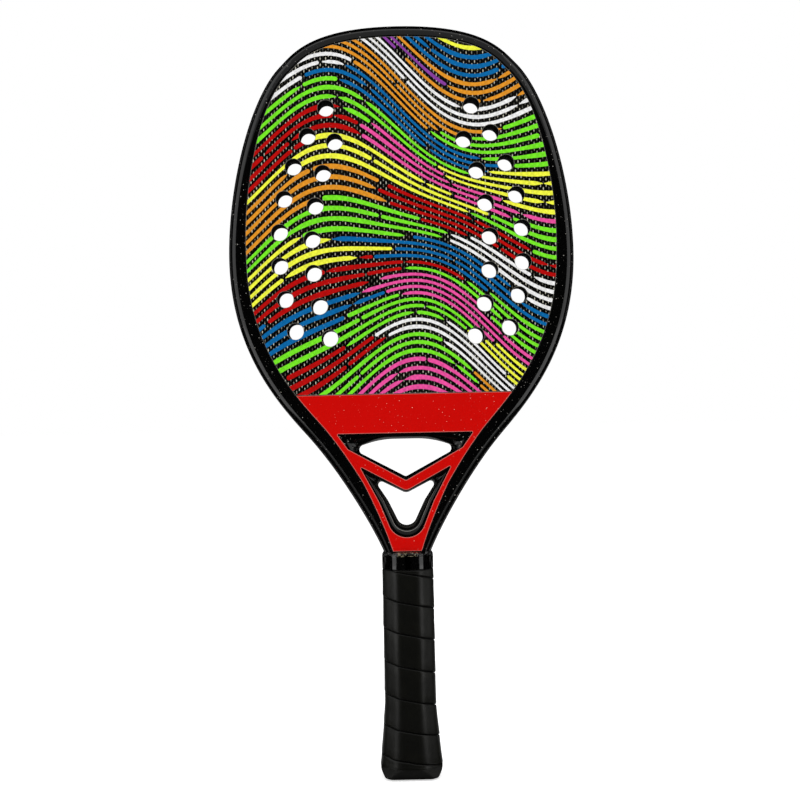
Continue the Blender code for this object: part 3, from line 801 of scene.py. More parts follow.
def painted_wall_reflections(finish, body):
    """The openings' walls: painted reflections, a grey sheen band and a fine pale highlight line in the
    lower opening, and specks of painted glint in the upper corners.
    """
    across, deep, up = finish.axes()
    deep = deep.math("ABSOLUTE")
    lower = 1 - finish.smooth(up, CREST - 0.010, CREST + 0.001)
    band = (1 - finish.smooth(deep, *PAINTED_SHEEN_DEPTHS)) * lower
    line = (1 - finish.smooth((deep - PAINTED_HIGHLIGHT_DEPTH).math("ABSOLUTE"), 0.00007, 0.00020)) * lower
    streaks = finish.smooth(finish.cloud(0.006, 3.0), 0.35, 0.65)
    # Painted reflections: a grey sheen band and a pale highlight line on the lower opening's walls.
    body = finish.mix(band * (streaks * 0.4 + 0.6), body, srgb(46, 46, 43))
    body = finish.mix(line * (streaks * 0.6 + 0.4), body, srgb(124, 122, 116))
    # Painted glints: pale specks in the upper opening's corners.
    beside = finish.smooth(across.math("ABSOLUTE"), 0.031, 0.034)
    above = finish.smooth(up, CREST + 0.021, CREST + 0.024)
    painted_glints = finish.smooth(finish.cloud(0.0021, 3.0), 0.62, 0.68)
    return finish.mix(painted_glints * beside * above * 0.8, body, srgb(178, 176, 168))


def painted_collar_highlight(finish, body):
    """The collar's top edge: a painted highlight, pale and patchy at the middle, along its rounded edge."""
    across, _, up = finish.axes()
    highlight_band = finish.smooth(up, *(COLLAR_TOP - depth for depth in COLLAR_HIGHLIGHT_DEPTHS))
    middle = 1 - finish.smooth(across.math("ABSOLUTE"), 0.0060, 0.0074)
    highlight_patches = finish.smooth(finish.cloud(0.0016), 0.46, 0.60)
    # Painted highlight on the collar's top edge.
    return finish.mix(highlight_band * middle * highlight_patches, body, srgb(118, 112, 90))


def painted_edge_highlight(finish, body):
    """The panels' rounded cut edges, with a fine pale line of painted highlight along them."""
    return finish.mix(finish.edges() * 0.42, body, srgb(214, 172, 160))


def weave_finish(name, look):
    """Clear-coated plain weave: dark yarn, painted glints where the other yarn comes up, a faint painted
    sheen on the dark yarn's crossings and a painted highlight along the rounded edges.
    """
    finish = Finish(name, look.weave_dark, 0.34, 0.14)
    glint = finish.weave(look, 0.12, 0.33)
    dark_yarn = finish.weave(look, 0.36, 0.20, 0.5)
    strong = finish.smooth(finish.cloud(0.0024), 0.42, 0.62)
    faint = finish.smooth(finish.cloud(0.009), 0.35, 0.70)
    # Painted sheen: a faint light on the dark yarn's crossings.
    body = finish.mix(dark_yarn * faint, look.weave_dark, scaled(look.weave_painted_glint, 0.009))
    # Painted glints where the other yarn comes up, stronger in random patches.
    body = finish.mix(glint * (strong * 0.72 + 0.09), body, look.weave_painted_glint)
    # Painted highlight: a pale line along the skin's rounded edges and the air holes' rims.
    body = finish.mix(finish.edges() * 0.45, body, srgb(150, 148, 138))
    return finish.vary(body, 0.31 - glint * 0.06, finish.bump(glint + dark_yarn * 0.6, 0.00012, 0.55))


def ink_finish(name, colour, look):
    """Printed ink: the weave shows through as a faint relief, with small uneven spots."""
    finish = Finish(name, colour, 0.33, 0.12)
    spread = finish.smooth(finish.cloud(0.0035, 3.0), 0.25, 0.75)
    yarn = finish.weave(look, 0.36, 0.42)
    body = finish.mix(spread * 0.6 + yarn * 0.4, scaled(colour, 0.74), scaled(colour, 1.04))
    body = finish.mix(finish.dots(0.0034, 0.00030) * 0.5, body, (0.92, 0.92, 0.92))
    return finish.vary(body, 0.28 + spread * 0.10, finish.bump(yarn, 0.00006, 0.5))


def foam_finish(name, colour):
    """Closed-cell foam: small pits, darker in their middles as painted shade and lighter at the cell walls.
    """
    finish = Finish(name, colour, 0.85, 0.25)
    cells = finish.cells(0.0007)
    # Painted shade: the pits darker in their middles than at the cell walls.
    body = finish.mix(cells, scaled(colour, 0.6), scaled(colour, 2.2))
    return finish.vary(body, 0.75 + cells * 0.2, finish.bump(cells, 0.00015, 0.6))


def moulded_finish(name, colour, grain, roughness, specular=0.35):
    """Moulded plastic or rubber with a fine spark-eroded grain and handling marks."""
    finish = Finish(name, colour, roughness, specular)
    fine = finish.cloud(grain, 3.0)
    marks = finish.smooth(finish.cloud(0.012, 4.0), 0.45, 0.75)
    body = finish.mix(marks, colour, scaled(colour, 1.5))
    return finish.vary(body, roughness + fine * 0.10 - marks * 0.06, finish.bump(fine, 0.00008, 0.5))


def grip_finish(name, colour):
    """Tacky wrap: pebbled grain, painted shade in the grooves between turns, which are also rougher, and
    soft pressure marks.
    """
    finish = Finish(name, colour, 0.36, 0.36)
    edge = finish.edges()
    pebbles = finish.cells(0.00065)
    marks = finish.smooth(finish.cloud(0.010, 4.0), 0.42, 0.72)
    body = finish.mix(marks, scaled(colour, 0.86), scaled(colour, 1.25))
    # Painted shade: the grooves between turns darkened nearly to black.
    body = finish.mix(edge, body, scaled(colour, 0.1))
    rough = 0.37 - marks * 0.07 + pebbles * 0.05 + edge * 0.4
    wrinkles = finish.bump(finish.cloud(0.0032, 3.0), 0.00025, 0.30)
    return finish.vary(body, rough, finish.bump(pebbles, 0.00008, 0.45, wrinkles))


def steel_finish(name, colour):
    """Turned steel with fine rings of scratches."""
    finish = Finish(name, colour, 0.3, Metallic=1.0)
    scratches = finish.cloud(0.0002, 4.0)
    body = finish.mix(scratches, scaled(colour, 0.75), colour)
    return finish.vary(body, 0.22 + scratches * 0.2, finish.bump(scratches, 0.00001, 0.4))


# Frame tube

def tube_half_depth(z):
    """Half thickness of the tube: full in the head and throat, as the core inside the handle."""
    return CORE_HALF + (HALF - CORE_HALF) * clamp((z - SHELL_TOP) / (COLLAR_TOP - COLLAR_LIP - SHELL_TOP))


def mirror_section(side):
    return side + [Vector((p.x, -p.y)) for p in reversed(side)]


def tube_section(z, edge):
    """Outer and inner loops of the tube's wall: distance inwards from the outline, and y."""
    band = band_width(z)
    deep = tube_half_depth(z)
    ledge = deep - SKIN - GAP
    round_u = min(EDGE_ROUND, band - 2 * edge)
    centre = (round_u, deep - EDGE_DEPTH)
    side = arc(centre, (round_u, EDGE_DEPTH), 180, 90, RIM_POINTS)
    flat = band - edge - round_u
    side += [Vector((round_u + flat * share, deep)) for share in (0.15, 0.85)]
    side += arc((band - edge, deep - edge), (edge, edge), 90, 0, 3)
    side += [Vector((band, ledge)), Vector((band + LAP, ledge))]
    hollow = arc(centre, (round_u - TUBE_WALL, EDGE_DEPTH - TUBE_WALL), 180, 90, RIM_POINTS)
    corner = Vector((band + LAP - TUBE_WALL, ledge - TUBE_WALL))
    extra = len(side) - RIM_POINTS
    hollow += [hollow[-1].lerp(corner, share / extra) for share in range(1, extra + 1)]
    return mirror_section(side), mirror_section(hollow)


class RACKET_OT_frame_tube(bpy.types.Operator):
    """Makes the lacquered tube of the head, the arms and the legs"""

    bl_idname = "racket.frame_tube"
    bl_label = "Frame tube"

    def execute(self, context):
        look = context.scene.racket_finish
        edge = context.scene.racket_shape.sheet_edge
        right = half_outline()
        left = [(mirrored(p), mirrored(n)) for p, n in reversed(right[1:])]
        bm = bmesh.new()
        outer, inner = [], []
        for point, inward in left + right:
            for rows, loop in zip((outer, inner), tube_section(point.y, edge)):
                flat = [point + inward * p.x for p in loop]
                rows.append([bm.verts.new((f.x, p.y, f.y)) for f, p in zip(flat, loop)])
        join_rings(bm, outer)
        join_rings(bm, inner)
        for end in (0, -1):
            join_rings(bm, (outer[end], inner[end]))
        lacquer = lacquer_finish("black_lacquer", look.lacquer, look.speck, spacing=0.0027,
                                 radius=0.00037, roughness=0.06, specular=0.5)
        mesh = finished("frame_lacquered", bm, lacquer, 50.0)
        add_piece("frame_lacquered", mesh, "frame_tube", "frame_tube")
        return {"FINISHED"}


# Head

def face_loops(shape):
    """Outline of a face skin, then its air holes."""
    outline = between(inset_line(GAP), PRINT_EDGE + GAP / 2)
    return [outline] + [circle(centre, shape.hole_diameter / 2, HOLE_SIDES) for centre in hole_centres()]


class RACKET_OT_face(bpy.types.Operator):
    """Makes the foam core and the two woven skins with their air holes"""

    bl_idname = "racket.face"
    bl_label = "Face"

    def execute(self, context):
        look = context.scene.racket_finish
        shape = context.scene.racket_shape
        outline, *holes = face_loops(shape)
        core_loops = [between(inset_line(LAP + GAP), YOKE_TOP + GAP)] + holes
        core = lofted_plate([(side * CORE_HALF, core_loops) for side in (-1, 1)])
        core = finished("foam_core", core, foam_finish("black_foam", look.foam))
        add_piece("foam_core", core, "foam_core", "eva_core")
        skin = thin_sheet([outline] + holes, SKIN - HALF, -HALF, shape.sheet_edge)
        skin = finished("front_skin", skin, weave_finish("woven_skin", look))
        add_piece("front_skin", skin, "woven_skin", "front_face_skin")
        add_piece("rear_skin", turned(skin), "woven_skin", "rear_face_skin")
        return {"FINISHED"}


# Printed stripes

class Stripes:
    """The stripes' lines: a long wave and a short ripple that both drift from one line to the next."""

    def __init__(self, design):
        self.design = design
        self.low = PRINT_EDGE - 2 * design.wave_height
        self.count = int((LENGTH - self.low + 2 * design.wave_height) / design.pitch)

    def height(self, line, x):
        design = self.design
        wave = math.tau * x / design.wave_length + WAVE_START + WAVE_DRIFT * line
        ripple = math.tau * x / design.ripple_length + RIPPLE_START + RIPPLE_DRIFT * line
        swing = design.wave_height * (0.9 + 0.1 * math.sin(0.17 * line))
        even = self.low + line * design.pitch
        return even + swing * math.sin(wave) + design.ripple_height * math.sin(ripple)

    def width(self, line, x):
        """Ink width: a share of the room between this line's neighbours, square to the line."""
        room = (self.height(line + 1, x) - self.height(line - 1, x)) / 2
        slope = (self.height(line, x + 0.001) - self.height(line, x - 0.001)) / 0.002
        wobble = 1 + INK_WOBBLE * noise.noise(Vector((x * 70, line * 3.7, 0)))
        return self.design.fill * room / math.hypot(1, slope) * wobble


def colour_patches(rng, lines):
    """Places along the lines, each with an ink, none like those beside it: x, line and ink."""
    columns, rows = 2, lines // 3
    inks = {}
    for row in range(rows):
        for column in range(columns):
            beside = ((column - 1, row), (column, row - 1), (column + 1, row - 1), (column - 1, row - 1))
            taken = [inks[key][2] for key in beside if key in inks]
            choice = rng.choices(INK_NAMES, INK_SHARES)[0]
            while choice in taken:
                choice = rng.choices(INK_NAMES, INK_SHARES)[0]
            across = column + 0.5 + 0.5 * (row % 2 - 0.5) + rng.uniform(-0.25, 0.25)
            up = row + 0.5 + rng.uniform(-0.3, 0.3)
            inks[column, row] = (HEAD_WIDTH * (across / columns - 0.5), lines * up / rows, choice)
    return list(inks.values())


def nearest_ink(patches, x, line):
    return min(patches, key=lambda patch: math.hypot((patch[0] - x) / PATCH_REACH, patch[1] - line))[2]


def ribbon(path, widths, start_taper, end_taper):
    """Closed loop round a line of points: full round ends, or ends that run out thin."""
    total = sum((b - a).length for a, b in zip(path, path[1:]))
    left, right, run = [], [], 0.0
    for i, point in enumerate(path):
        if i:
            run += (point - path[i - 1]).length
        along = (path[min(i + 1, len(path) - 1)] - path[max(i - 1, 0)]).normalized()
        square = Vector((-along.y, along.x))
        half = widths[i] / 2
        for taper, distance in ((start_taper, run), (end_taper, total - run)):
            room = half * (TAPER_REACH if taper else 1.0)
            if distance < room:
                share = distance / room
                if taper:
                    half *= TAPER_TIP + (1 - TAPER_TIP) * share
                else:
                    half *= math.sqrt(max(1 - (1 - share) ** 2, ROUND_TIP))
        left.append(point + square * half)
        right.append(point - square * half)
    return left + right[::-1]


def stripe_ribbons(design):
    """All the stripes of one face: pairs of ink name and loop."""
    rng = random.Random(design.seed)
    stripes = Stripes(design)
    patches = colour_patches(rng, stripes.count)
    out = []
    edge = int(HEAD_WIDTH / 2 / STRIPE_STEP) + 8
    for line in range(stripes.count):
        longest = design.longest * rng.uniform(0.2, 1.3)
        ragged = rng.uniform(-RAGGED, RAGGED)
        ink, points = None, []
        for i in range(-edge, edge + 1):
            x = i * STRIPE_STEP
            here = Vector((x, stripes.height(line, x)))
            seen = nearest_ink(patches, x + ragged, line)
            ink = ink or seen
            points.append(here)
            run = (len(points) - 1) * STRIPE_STEP
            ends = run > longest or (seen != ink and run > SHORTEST) or i == edge
            if not ends:
                continue
            cut = max(int(design.break_length * rng.uniform(0.6, 1.5) / STRIPE_STEP), 1)
            path = points[:-cut]
            if len(path) > 8:
                path = shorten(path)
                widths = [stripes.width(line, p.x) for p in path]
                out.append((ink, ribbon(path, widths, rng.random() < 0.5, rng.random() < 0.5)))
            ink, points = seen, [here]
            longest = design.longest * rng.uniform(0.3, 1.3)
    return out


def shorten(path):
    """Every few points of a path, but all of them near its two ends."""
    dense, keep = 5, 4
    return path[:dense] + path[dense:-dense:keep] + path[-dense:]


def clip(stripe, outline, holes):
    """Triangles of the part of a stripe that lies in the outline and outside the holes: points, faces."""
    cut_by = [hole for hole in holes if stripe.near(hole)]
    whole = all(outline.holds(p) for p in stripe.loop)

    def printed(p):
        on_face = stripe.holds(p) and (whole or outline.holds(p))
        return on_face and not any(hole.holds(p) for hole in cut_by)

    regions = [stripe] + cut_by + ([] if whole else [outline])
    everything = 0
    return triangles([region.loop for region in regions], everything, printed)[:2]


class RACKET_OT_print(bpy.types.Operator):
    """Prints the coloured stripes on both faces, cut off at the band and the air holes"""

    bl_idname = "racket.print"
    bl_label = "Printed stripes"

    def execute(self, context):
        shape = context.scene.racket_shape
        design = context.scene.racket_print
        outline, *holes = [Region(loop) for loop in inset(face_loops(shape), 1.2 * shape.sheet_edge)]
        sheets = {name: bmesh.new() for name in INK_NAMES}
        for ink, loop in stripe_ribbons(design):
            if not any(outline.holds(p) for p in loop):
                continue
            points, faces = clip(Region(loop), outline, holes)
            bm = sheets[ink]
            verts = {}
            for face in faces:
                for i in face:
                    if i not in verts:
                        verts[i] = bm.verts.new((points[i].x, INK_SUNK - HALF, points[i].y))
                bm.faces.new([verts[i] for i in face])
        for name, bm in sheets.items():
            bmesh.ops.recalc_face_normals(bm, faces=bm.faces[:])
            lifted = bmesh.ops.extrude_face_region(bm, geom=bm.faces[:])
            moved = [item for item in lifted["geom"] if isinstance(item, bmesh.types.BMVert)]
            bmesh.ops.translate(bm, verts=moved, vec=(0, -INK_SUNK - design.ink_height, 0))
            finish = ink_finish("ink_" + name, getattr(design, name), context.scene.racket_finish)
            mesh = finished("ink_front_" + name, bm, finish, 30.0)
            add_piece("ink_front_" + name, mesh, "woven_skin")
            add_piece("ink_rear_" + name, turned(mesh), "woven_skin")
        return {"FINISHED"}


# Throat

def opening(*sides):
    """Both sides of an opening, at the face and at mid-thickness: corners with radii, even about x = 0."""
    out = []
    for corners, radii in sides:
        right = list(zip(corners, radii))
        out.append(right + [(mirrored(p), r) for p, r in reversed(right) if p.x > 0])
    return out


def upper_opening():
    """The upper opening, under the bridge."""
    rib = inset_line(RIB)
    top, corner = point_at(rib, BRIDGE_FOOT), point_at(rib, BRIDGE_FOOT - UPPER_SIDE)
    low, high = CREST + STRUT_BULGE, BRIDGE_FOOT - BRIDGE_BULGE
    tip_x, tip_z = top.x - UPPER_TIP_INSET, low + UPPER_TIP_RISE
    arch_x = tip_x - ARCH_INSET
    face = [Vector((arch_x, BRIDGE_FOOT)), top, corner, Vector((0, CREST))]
    tip = [Vector((tip_x, tip_z)), Vector((tip_x, tip_z - TIP_HEIGHT))]
    middle = [Vector((arch_x, high))] + tip + [Vector((0, low))]
    return opening((face, UPPER_FACE_R), (middle, UPPER_CLEAR_R))


def lower_opening():
    """The lower opening, whose top follows the chevron strut."""
    rib = inset_line(RIB)
    corner, end = point_at(rib, STRUT_FOOT + LOWER_SIDE_RISE), point_at(rib, COLLAR_TOP + LOWER_END_RISE)
    side = point_at(rib, (corner.y + end.y) / 2)
    tip = corner - Vector(LOWER_TIP)
    clear_end = end + Vector((-LOWER_END_INSET, LOWER_END_BULGE))
    clear_side = side + (tip - corner + clear_end - end) / 2
    face = [Vector((0, STRUT_FOOT)), corner, side, end]
    middle = [Vector((0, STRUT_FOOT - STRUT_BULGE)), tip, clear_side, clear_end]
    return opening((face, LOWER_FACE_R), (middle, LOWER_CLEAR_R))


def opening_loop(sides, share):
    """Loop of an opening between its face, at 0, and the middle of the thickness, at 1."""
    pairs = list(zip(*sides))
    corners = [a.lerp(b, share) for (a, _), (b, _) in pairs]
    return rounded_loop(corners, [a + (b - a) * share for (_, a), (_, b) in pairs])


class RACKET_OT_throat(bpy.types.Operator):
    """Makes the throat yoke with its two rounded openings, and the lacquered panels over it"""

    bl_idname = "racket.throat"
    bl_label = "Throat"

    def execute(self, context):
        look = context.scene.racket_finish
        edge = context.scene.racket_shape.sheet_edge
        openings = (upper_opening(), lower_opening())
        outline = between(inset_line(LAP + GAP), TONGUE_END, YOKE_TOP)
        levels = []
        for i in range(-WALL_STEPS, WALL_STEPS + 1):
            turn = math.radians(90 * i / WALL_STEPS)
            loops = [opening_loop(sides, math.cos(turn)) for sides in openings]
            levels.append((CORE_HALF * math.sin(turn), [outline] + loops))
        gloss = lacquer_finish("opening_lacquer", look.lacquer, look.speck, spacing=0.0055,
                               radius=0.00022, roughness=0.09, specular=0.4, dress=painted_wall_reflections)
        yoke = finished("yoke_lacquered", lofted_plate(levels), gloss, 50.0)
        add_piece("yoke_lacquered", yoke, "yoke", "throat_yoke")

        sheet = between(inset_line(GAP), COLLAR_TOP + SKIN, PRINT_EDGE - GAP / 2)
        loops = [sheet] + [opening_loop(sides, 0) for sides in openings]
        red = lacquer_finish("red_lacquer", look.throat, srgb(244, 190, 176), spacing=0.0026,
                             radius=0.00030, roughness=0.14, specular=0.12, uneven=0.05,
                             dress=painted_edge_highlight)
        panel = finished("throat_panel_front", thin_sheet(loops, SKIN - HALF, -HALF, edge), red)
        add_piece("throat_panel_front", panel, "throat_panel", "front_throat_panel")
        add_piece("throat_panel_rear", turned(panel), "throat_panel", "rear_throat_panel")
        return {"FINISHED"}


# Handle

class RACKET_OT_collar(bpy.types.Operator):
    """Makes the gloss collar over the top of the grip"""

    bl_idname = "racket.collar"
    bl_label = "Collar"

    def execute(self, context):
        look = context.scene.racket_finish
        shape = context.scene.racket_shape
        soft, corner = shape.collar_edge, shape.collar_corner
        shell = octagon(-SHELL_INSET + GAP)
        arms = point_at([p for p, _ in half_outline()], COLLAR_TOP).x
        throat = oval(arms + GAP, HALF + GAP, min(EDGE_ROUND, BAND_COLLAR - GAP) + GAP, EDGE_DEPTH + GAP)
        sections = [(octagon(-GAP, corner), COLLAR_BOTTOM), (octagon(0, corner), COLLAR_BOTTOM + GAP)]
        for angle in range(0, 91, 15):
            turn = math.radians(angle)
            top = COLLAR_TOP - soft + soft * math.sin(turn)
            sections.append((octagon(-soft * (1 - math.cos(turn)), corner), top))
        sections += [
            (throat, COLLAR_TOP),
            (throat, COLLAR_TOP - COLLAR_LIP),
            (shell, SHELL_TOP + GAP),
            (shell, COLLAR_BOTTOM),
        ]
        gloss = lacquer_finish("collar_gloss", look.lacquer, look.speck, spacing=0.006, radius=0.0002,
                               roughness=0.06, specular=0.7, dress=painted_collar_highlight, pucker=0.0014)
        mesh = finished("collar_gloss", upright_ring(sections), gloss, 40.0)
        add_piece("collar_gloss", mesh, "collar", "grip_collar")
        return {"FINISHED"}


def strip_section(low, high, shape, cut_level):
    """Across one turn of the strip: height, inset from the handle's size, and closeness to an edge, which
    marks the groove's painted shade.
    """
    width = high - low
    soft = min(shape.grip_edge, width / 5)
    proud = shape.grip_step * min(width / 0.01, 1.0)
    deep = shape.grip_groove
    groove = 0.0 if cut_level else 1.0
    return (
        (low, GRIP_THICK, groove),
        (low, deep * groove, groove),
        (low + 0.30 * soft, (0.45 * deep - proud) * groove, 0.9 * groove),
        (low + 0.70 * soft, (0.10 * deep - proud) * groove, 0.1 * groove),
        (low + 1.4 * soft, -proud, 0.0),
        (low + 0.30 * width, -0.5 * proud, 0.0),
        (low + 0.65 * width, 0.0, 0.0),
        (high - 1.4 * soft, 0.0, 0.0),
        (high - 0.70 * soft, 0.10 * deep, 0.1),
        (high - 0.30 * soft, 0.45 * deep, 0.9),
        (high, deep, 1.0),
        (high, GRIP_THICK, 1.0),
    )


def seam(shape, turns):
    """Height of the strip's lower edge after a number of turns, which is a little uneven."""
    uneven = shape.grip_uneven * math.sin(SEAM_SWING * turns - SEAM_START)
    return SEAM_Z + turns * shape.grip_pitch - uneven


class RACKET_OT_grip(bpy.types.Operator):
    """Winds the grip strip upwards from the butt: it falls from left to right across the front"""

    bl_idname = "racket.grip"
    bl_label = "Grip"

    def execute(self, context):
        shape = context.scene.racket_shape
        section = octagon(0, shape.grip_corner)
        count = len(section)
        lengths = [(section[i] - section[i - 1]).length for i in range(count)]
        around = sum(lengths)
        to_front = 0.25
        bm = bmesh.new()
        layer = bm.verts.layers.float.new("edge")
        rows = []
        wound_here = 0.0
        last = int((GRIP_TOP - SEAM_Z) / shape.grip_pitch + 2) * count
        for step in range(-2 * count, last):
            index = -step % count
            wound_here = wound_here + lengths[(index + 1) % count] if index else 0.0
            turns = step // count + wound_here / around - to_front
            low, high = max(seam(shape, turns), GRIP_LOW), min(seam(shape, turns + 1) - GAP / 2, GRIP_TOP)
            if high - low < STRIP_TIP:
                continue
            row = []
            for z, sunk, groove_shade in strip_section(low, high, shape, low == GRIP_LOW):
                soft = GRIP_LUMPS * noise.noise(Vector((index * 0.21, z * 160, 3.0 * step / count)))
                inner = sunk == GRIP_THICK
                corner = HANDLE_CORNER_R if inner else shape.grip_corner
                p = octagon(flare(z) - sunk + (0 if inner else soft), corner)[index]
                vert = bm.verts.new((p.x, p.y, z))
                # How much painted shade the groove puts here.
                vert[layer] = groove_shade
                row.append(vert)
            rows.append(row)
        join_rings(bm, rows)
        bm.faces.new(rows[0])
        bm.faces.new(rows[-1])
        wrap = grip_finish("grip_wrap", context.scene.racket_finish.grip)
        add_piece("grip_wound", finished("grip_wound", bm, wrap, 50.0), "grip", "grip_strip")
        return {"FINISHED"}


class RACKET_OT_butt_cap(bpy.types.Operator):
    """Makes the rubber cap whose rounded foot shows below the grip"""

    bl_idname = "racket.butt_cap"
    bl_label = "Butt cap"

    def execute(self, context):
        window = eight_sided(*WINDOW, WINDOW_R)
        bore = octagon(-SHELL_INSET + GAP)
        corner = context.scene.racket_shape.grip_corner
        own = (HANDLE_FLAT / 2 + FLARE * BEVEL) / (HANDLE_WIDTH / 2 + FLARE)
        sections = []
        for z, side, front in FOOT_PROFILE:
            half_x = HANDLE_WIDTH / 2 + FLARE - side
            square = min(FOOT_FADE * (1 - z / CAP_LIP), 1.0)
            flat = half_x * (own + (FOOT_FLAT - own) * square)
            rounding = corner + (HANDLE_CORNER_R - corner) * square
            sections.append((eight_sided(half_x, HANDLE_DEPTH / 2 + FLARE - front, flat, rounding), z))
        sections += [
            (octagon(FLARE, corner), CAP_LIP),
            (octagon(FLARE - SHELL_INSET), CAP_LIP),
            (octagon(flare(SKIRT_TOP) - SHELL_INSET), SKIRT_TOP),
            (bore, SKIRT_TOP),
            (bore, CAP_FLOOR),
            (window, CAP_FLOOR),
            (window, 0),
        ]
        rubber = moulded_finish("cap_rubber", context.scene.racket_finish.rubber, 0.0006, 0.6, 0.3)
        mesh = finished("cap_rubber", upright_ring(sections), rubber, 40.0)
        add_piece("cap_rubber", mesh, "cap", "butt_cap")
        return {"FINISHED"}


class RACKET_OT_inner_parts(bpy.types.Operator):
    """Gives the half shells, the door and the tacks, which keep their CAD shapes, their materials"""

    bl_idname = "racket.inner_parts"
    bl_label = "Inner parts"

    def execute(self, context):
        look = context.scene.racket_finish
        moulding = moulded_finish("handle_moulding", look.plastic, 0.0008, 0.6)
        hard = moulded_finish("door_plastic", scaled(look.plastic, 0.7), 0.0005, 0.45)
        steel = steel_finish("tack_steel", look.steel)
        for material, *nodes in (
            (moulding, "handle_shell_front", "handle_shell_rear"),
            (hard, "cap_door"),
            (steel, "cap_tack_front", "cap_tack_rear"),
        ):
            for node in nodes:
                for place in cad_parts[node].material_slots:
                    place.material = material
        return {"FINISHED"}


# Studio

def panel_lamp(name, power, size, place, aim):
    light = bpy.data.lights.new(name, "AREA")
    light.shape = "RECTANGLE"
    light.size, light.size_y = size
    light.energy = power
    lamp = bpy.data.objects.new(name, light)
    lamp.location = place
    lamp.rotation_euler = (Vector(aim) - Vector(place)).to_track_quat("-Z", "Y").to_euler()
    lamp.visible_camera = False
    lamp.visible_glossy = False
    bpy.context.scene.collection.objects.link(lamp)


def stage_sheet(name, corners, material):
    bm = bmesh.new()
    bm.faces.new([bm.verts.new(corner) for corner in corners])
    mesh = bpy.data.meshes.new(name)
    bm.to_mesh(mesh)
    bm.free()
    mesh.materials.append(material)
    sheet = bpy.data.objects.new(name, mesh)
    bpy.context.scene.collection.objects.link(sheet)
    return sheet


def card_material(name, level):
    """A card of an even grey level, whatever the light."""
    glow = {"Emission_Color": (1.0, 1.0, 1.0, 1.0), "Emission_Strength": level}
    return Finish(name, (0.0, 0.0, 0.0), 1.0, 0.0, **glow).material


def stage_card(name, corners, material):
    """A card of the studio that shows only in reflections."""
    card = stage_sheet(name, corners, material)
    card.visible_camera = False
    card.visible_diffuse = False
    card.visible_transmission = False
    card.visible_shadow = False


def floor_fan(start, end, inner, outer):
    """Corners of a part of a ring on the floor, between two angles from straight ahead."""
    steps = 16
    angles = [math.radians(start + (end - start) * i / steps) for i in range(steps + 1)]
    near = [(inner * math.sin(a), -inner * math.cos(a)) for a in angles]
    far = [(outer * math.sin(a), -outer * math.cos(a)) for a in angles]
    return near + far[::-1]


def seen_directly(surface):
    """1 for what the camera sees, straight or in a glossy or clear surface."""
    paths = surface.outputs(surface.add("ShaderNodeLightPath"))
    straight_or_glossy = paths["Is Camera Ray"].math("MAXIMUM", paths["Is Glossy Ray"])
    return straight_or_glossy.math("MAXIMUM", paths["Is Transmission Ray"])


def white_world(studio):
    world = bpy.data.worlds.new("studio_world")
    world.cycles.sampling_method = "NONE"
    world.use_nodes = True
    bpy.context.scene.world = world
    surface = Surface(world.node_tree)
    surface.tree.nodes.remove(surface.tree.nodes["Background"])
    grey = (studio.ambient,) * 3
    ambient = surface.add("ShaderNodeBackground", None, {"Color": (*grey, 1.0)})
    white = surface.add("ShaderNodeBackground", None, {"Color": (1.0, 1.0, 1.0, 1.0)})
    seen = seen_directly(surface)
    surface.show(surface.add("ShaderNodeMixShader", None, {0: seen, 1: ambient, 2: white}))


def floor_material(studio):
    """White floor: part of its light is its own, so that it stays white and its shadow soft."""
    finish = Finish("studio_floor", scaled(studio.floor, 0.8), 0.9, 0.0)
    glow = finish.add("ShaderNodeEmission", None, {"Color": (*studio.floor, 1.0), "Strength": 0.6})
    base = Field(finish, finish.shader.outputs[0])
    both = finish.add("ShaderNodeAddShader", None, {0: base, 1: glow})
    seen = seen_directly(finish)
    finish.show(finish.add("ShaderNodeMixShader", None, {0: seen, 1: base, 2: both}))
    return finish.material


def add_camera(studio):
    """The photo's camera: level, a little rolled, and from the front."""
    camera = bpy.data.objects.new("camera", bpy.data.cameras.new("camera"))
    camera.location = studio.camera_place
    camera.rotation_euler = (math.radians(90), studio.camera_roll, 0)
    camera.data.lens = studio.lens
    camera.data.sensor_width = 36.0
    bpy.context.scene.collection.objects.link(camera)
    bpy.context.scene.camera = camera


def add_lamps(studio):
    """Soft panels at both sides, overhead and behind, all aimed at the racket."""
    middle = (0.0, 0.0, 0.27)
    for hand, side in HANDS:
        panel_lamp(hand + "_panel", studio.side_lamps, (1.0, 1.7), (side * 1.39, -0.62, 0.55), middle)
    panel_lamp("top_panel", studio.top_lamp, (1.8, 1.2), (0.0, -0.95, 1.75), middle)
    panel_lamp("rear_panel", studio.rear_lamp, (1.4, 1.0), (0.0, 1.1, 1.75), middle)


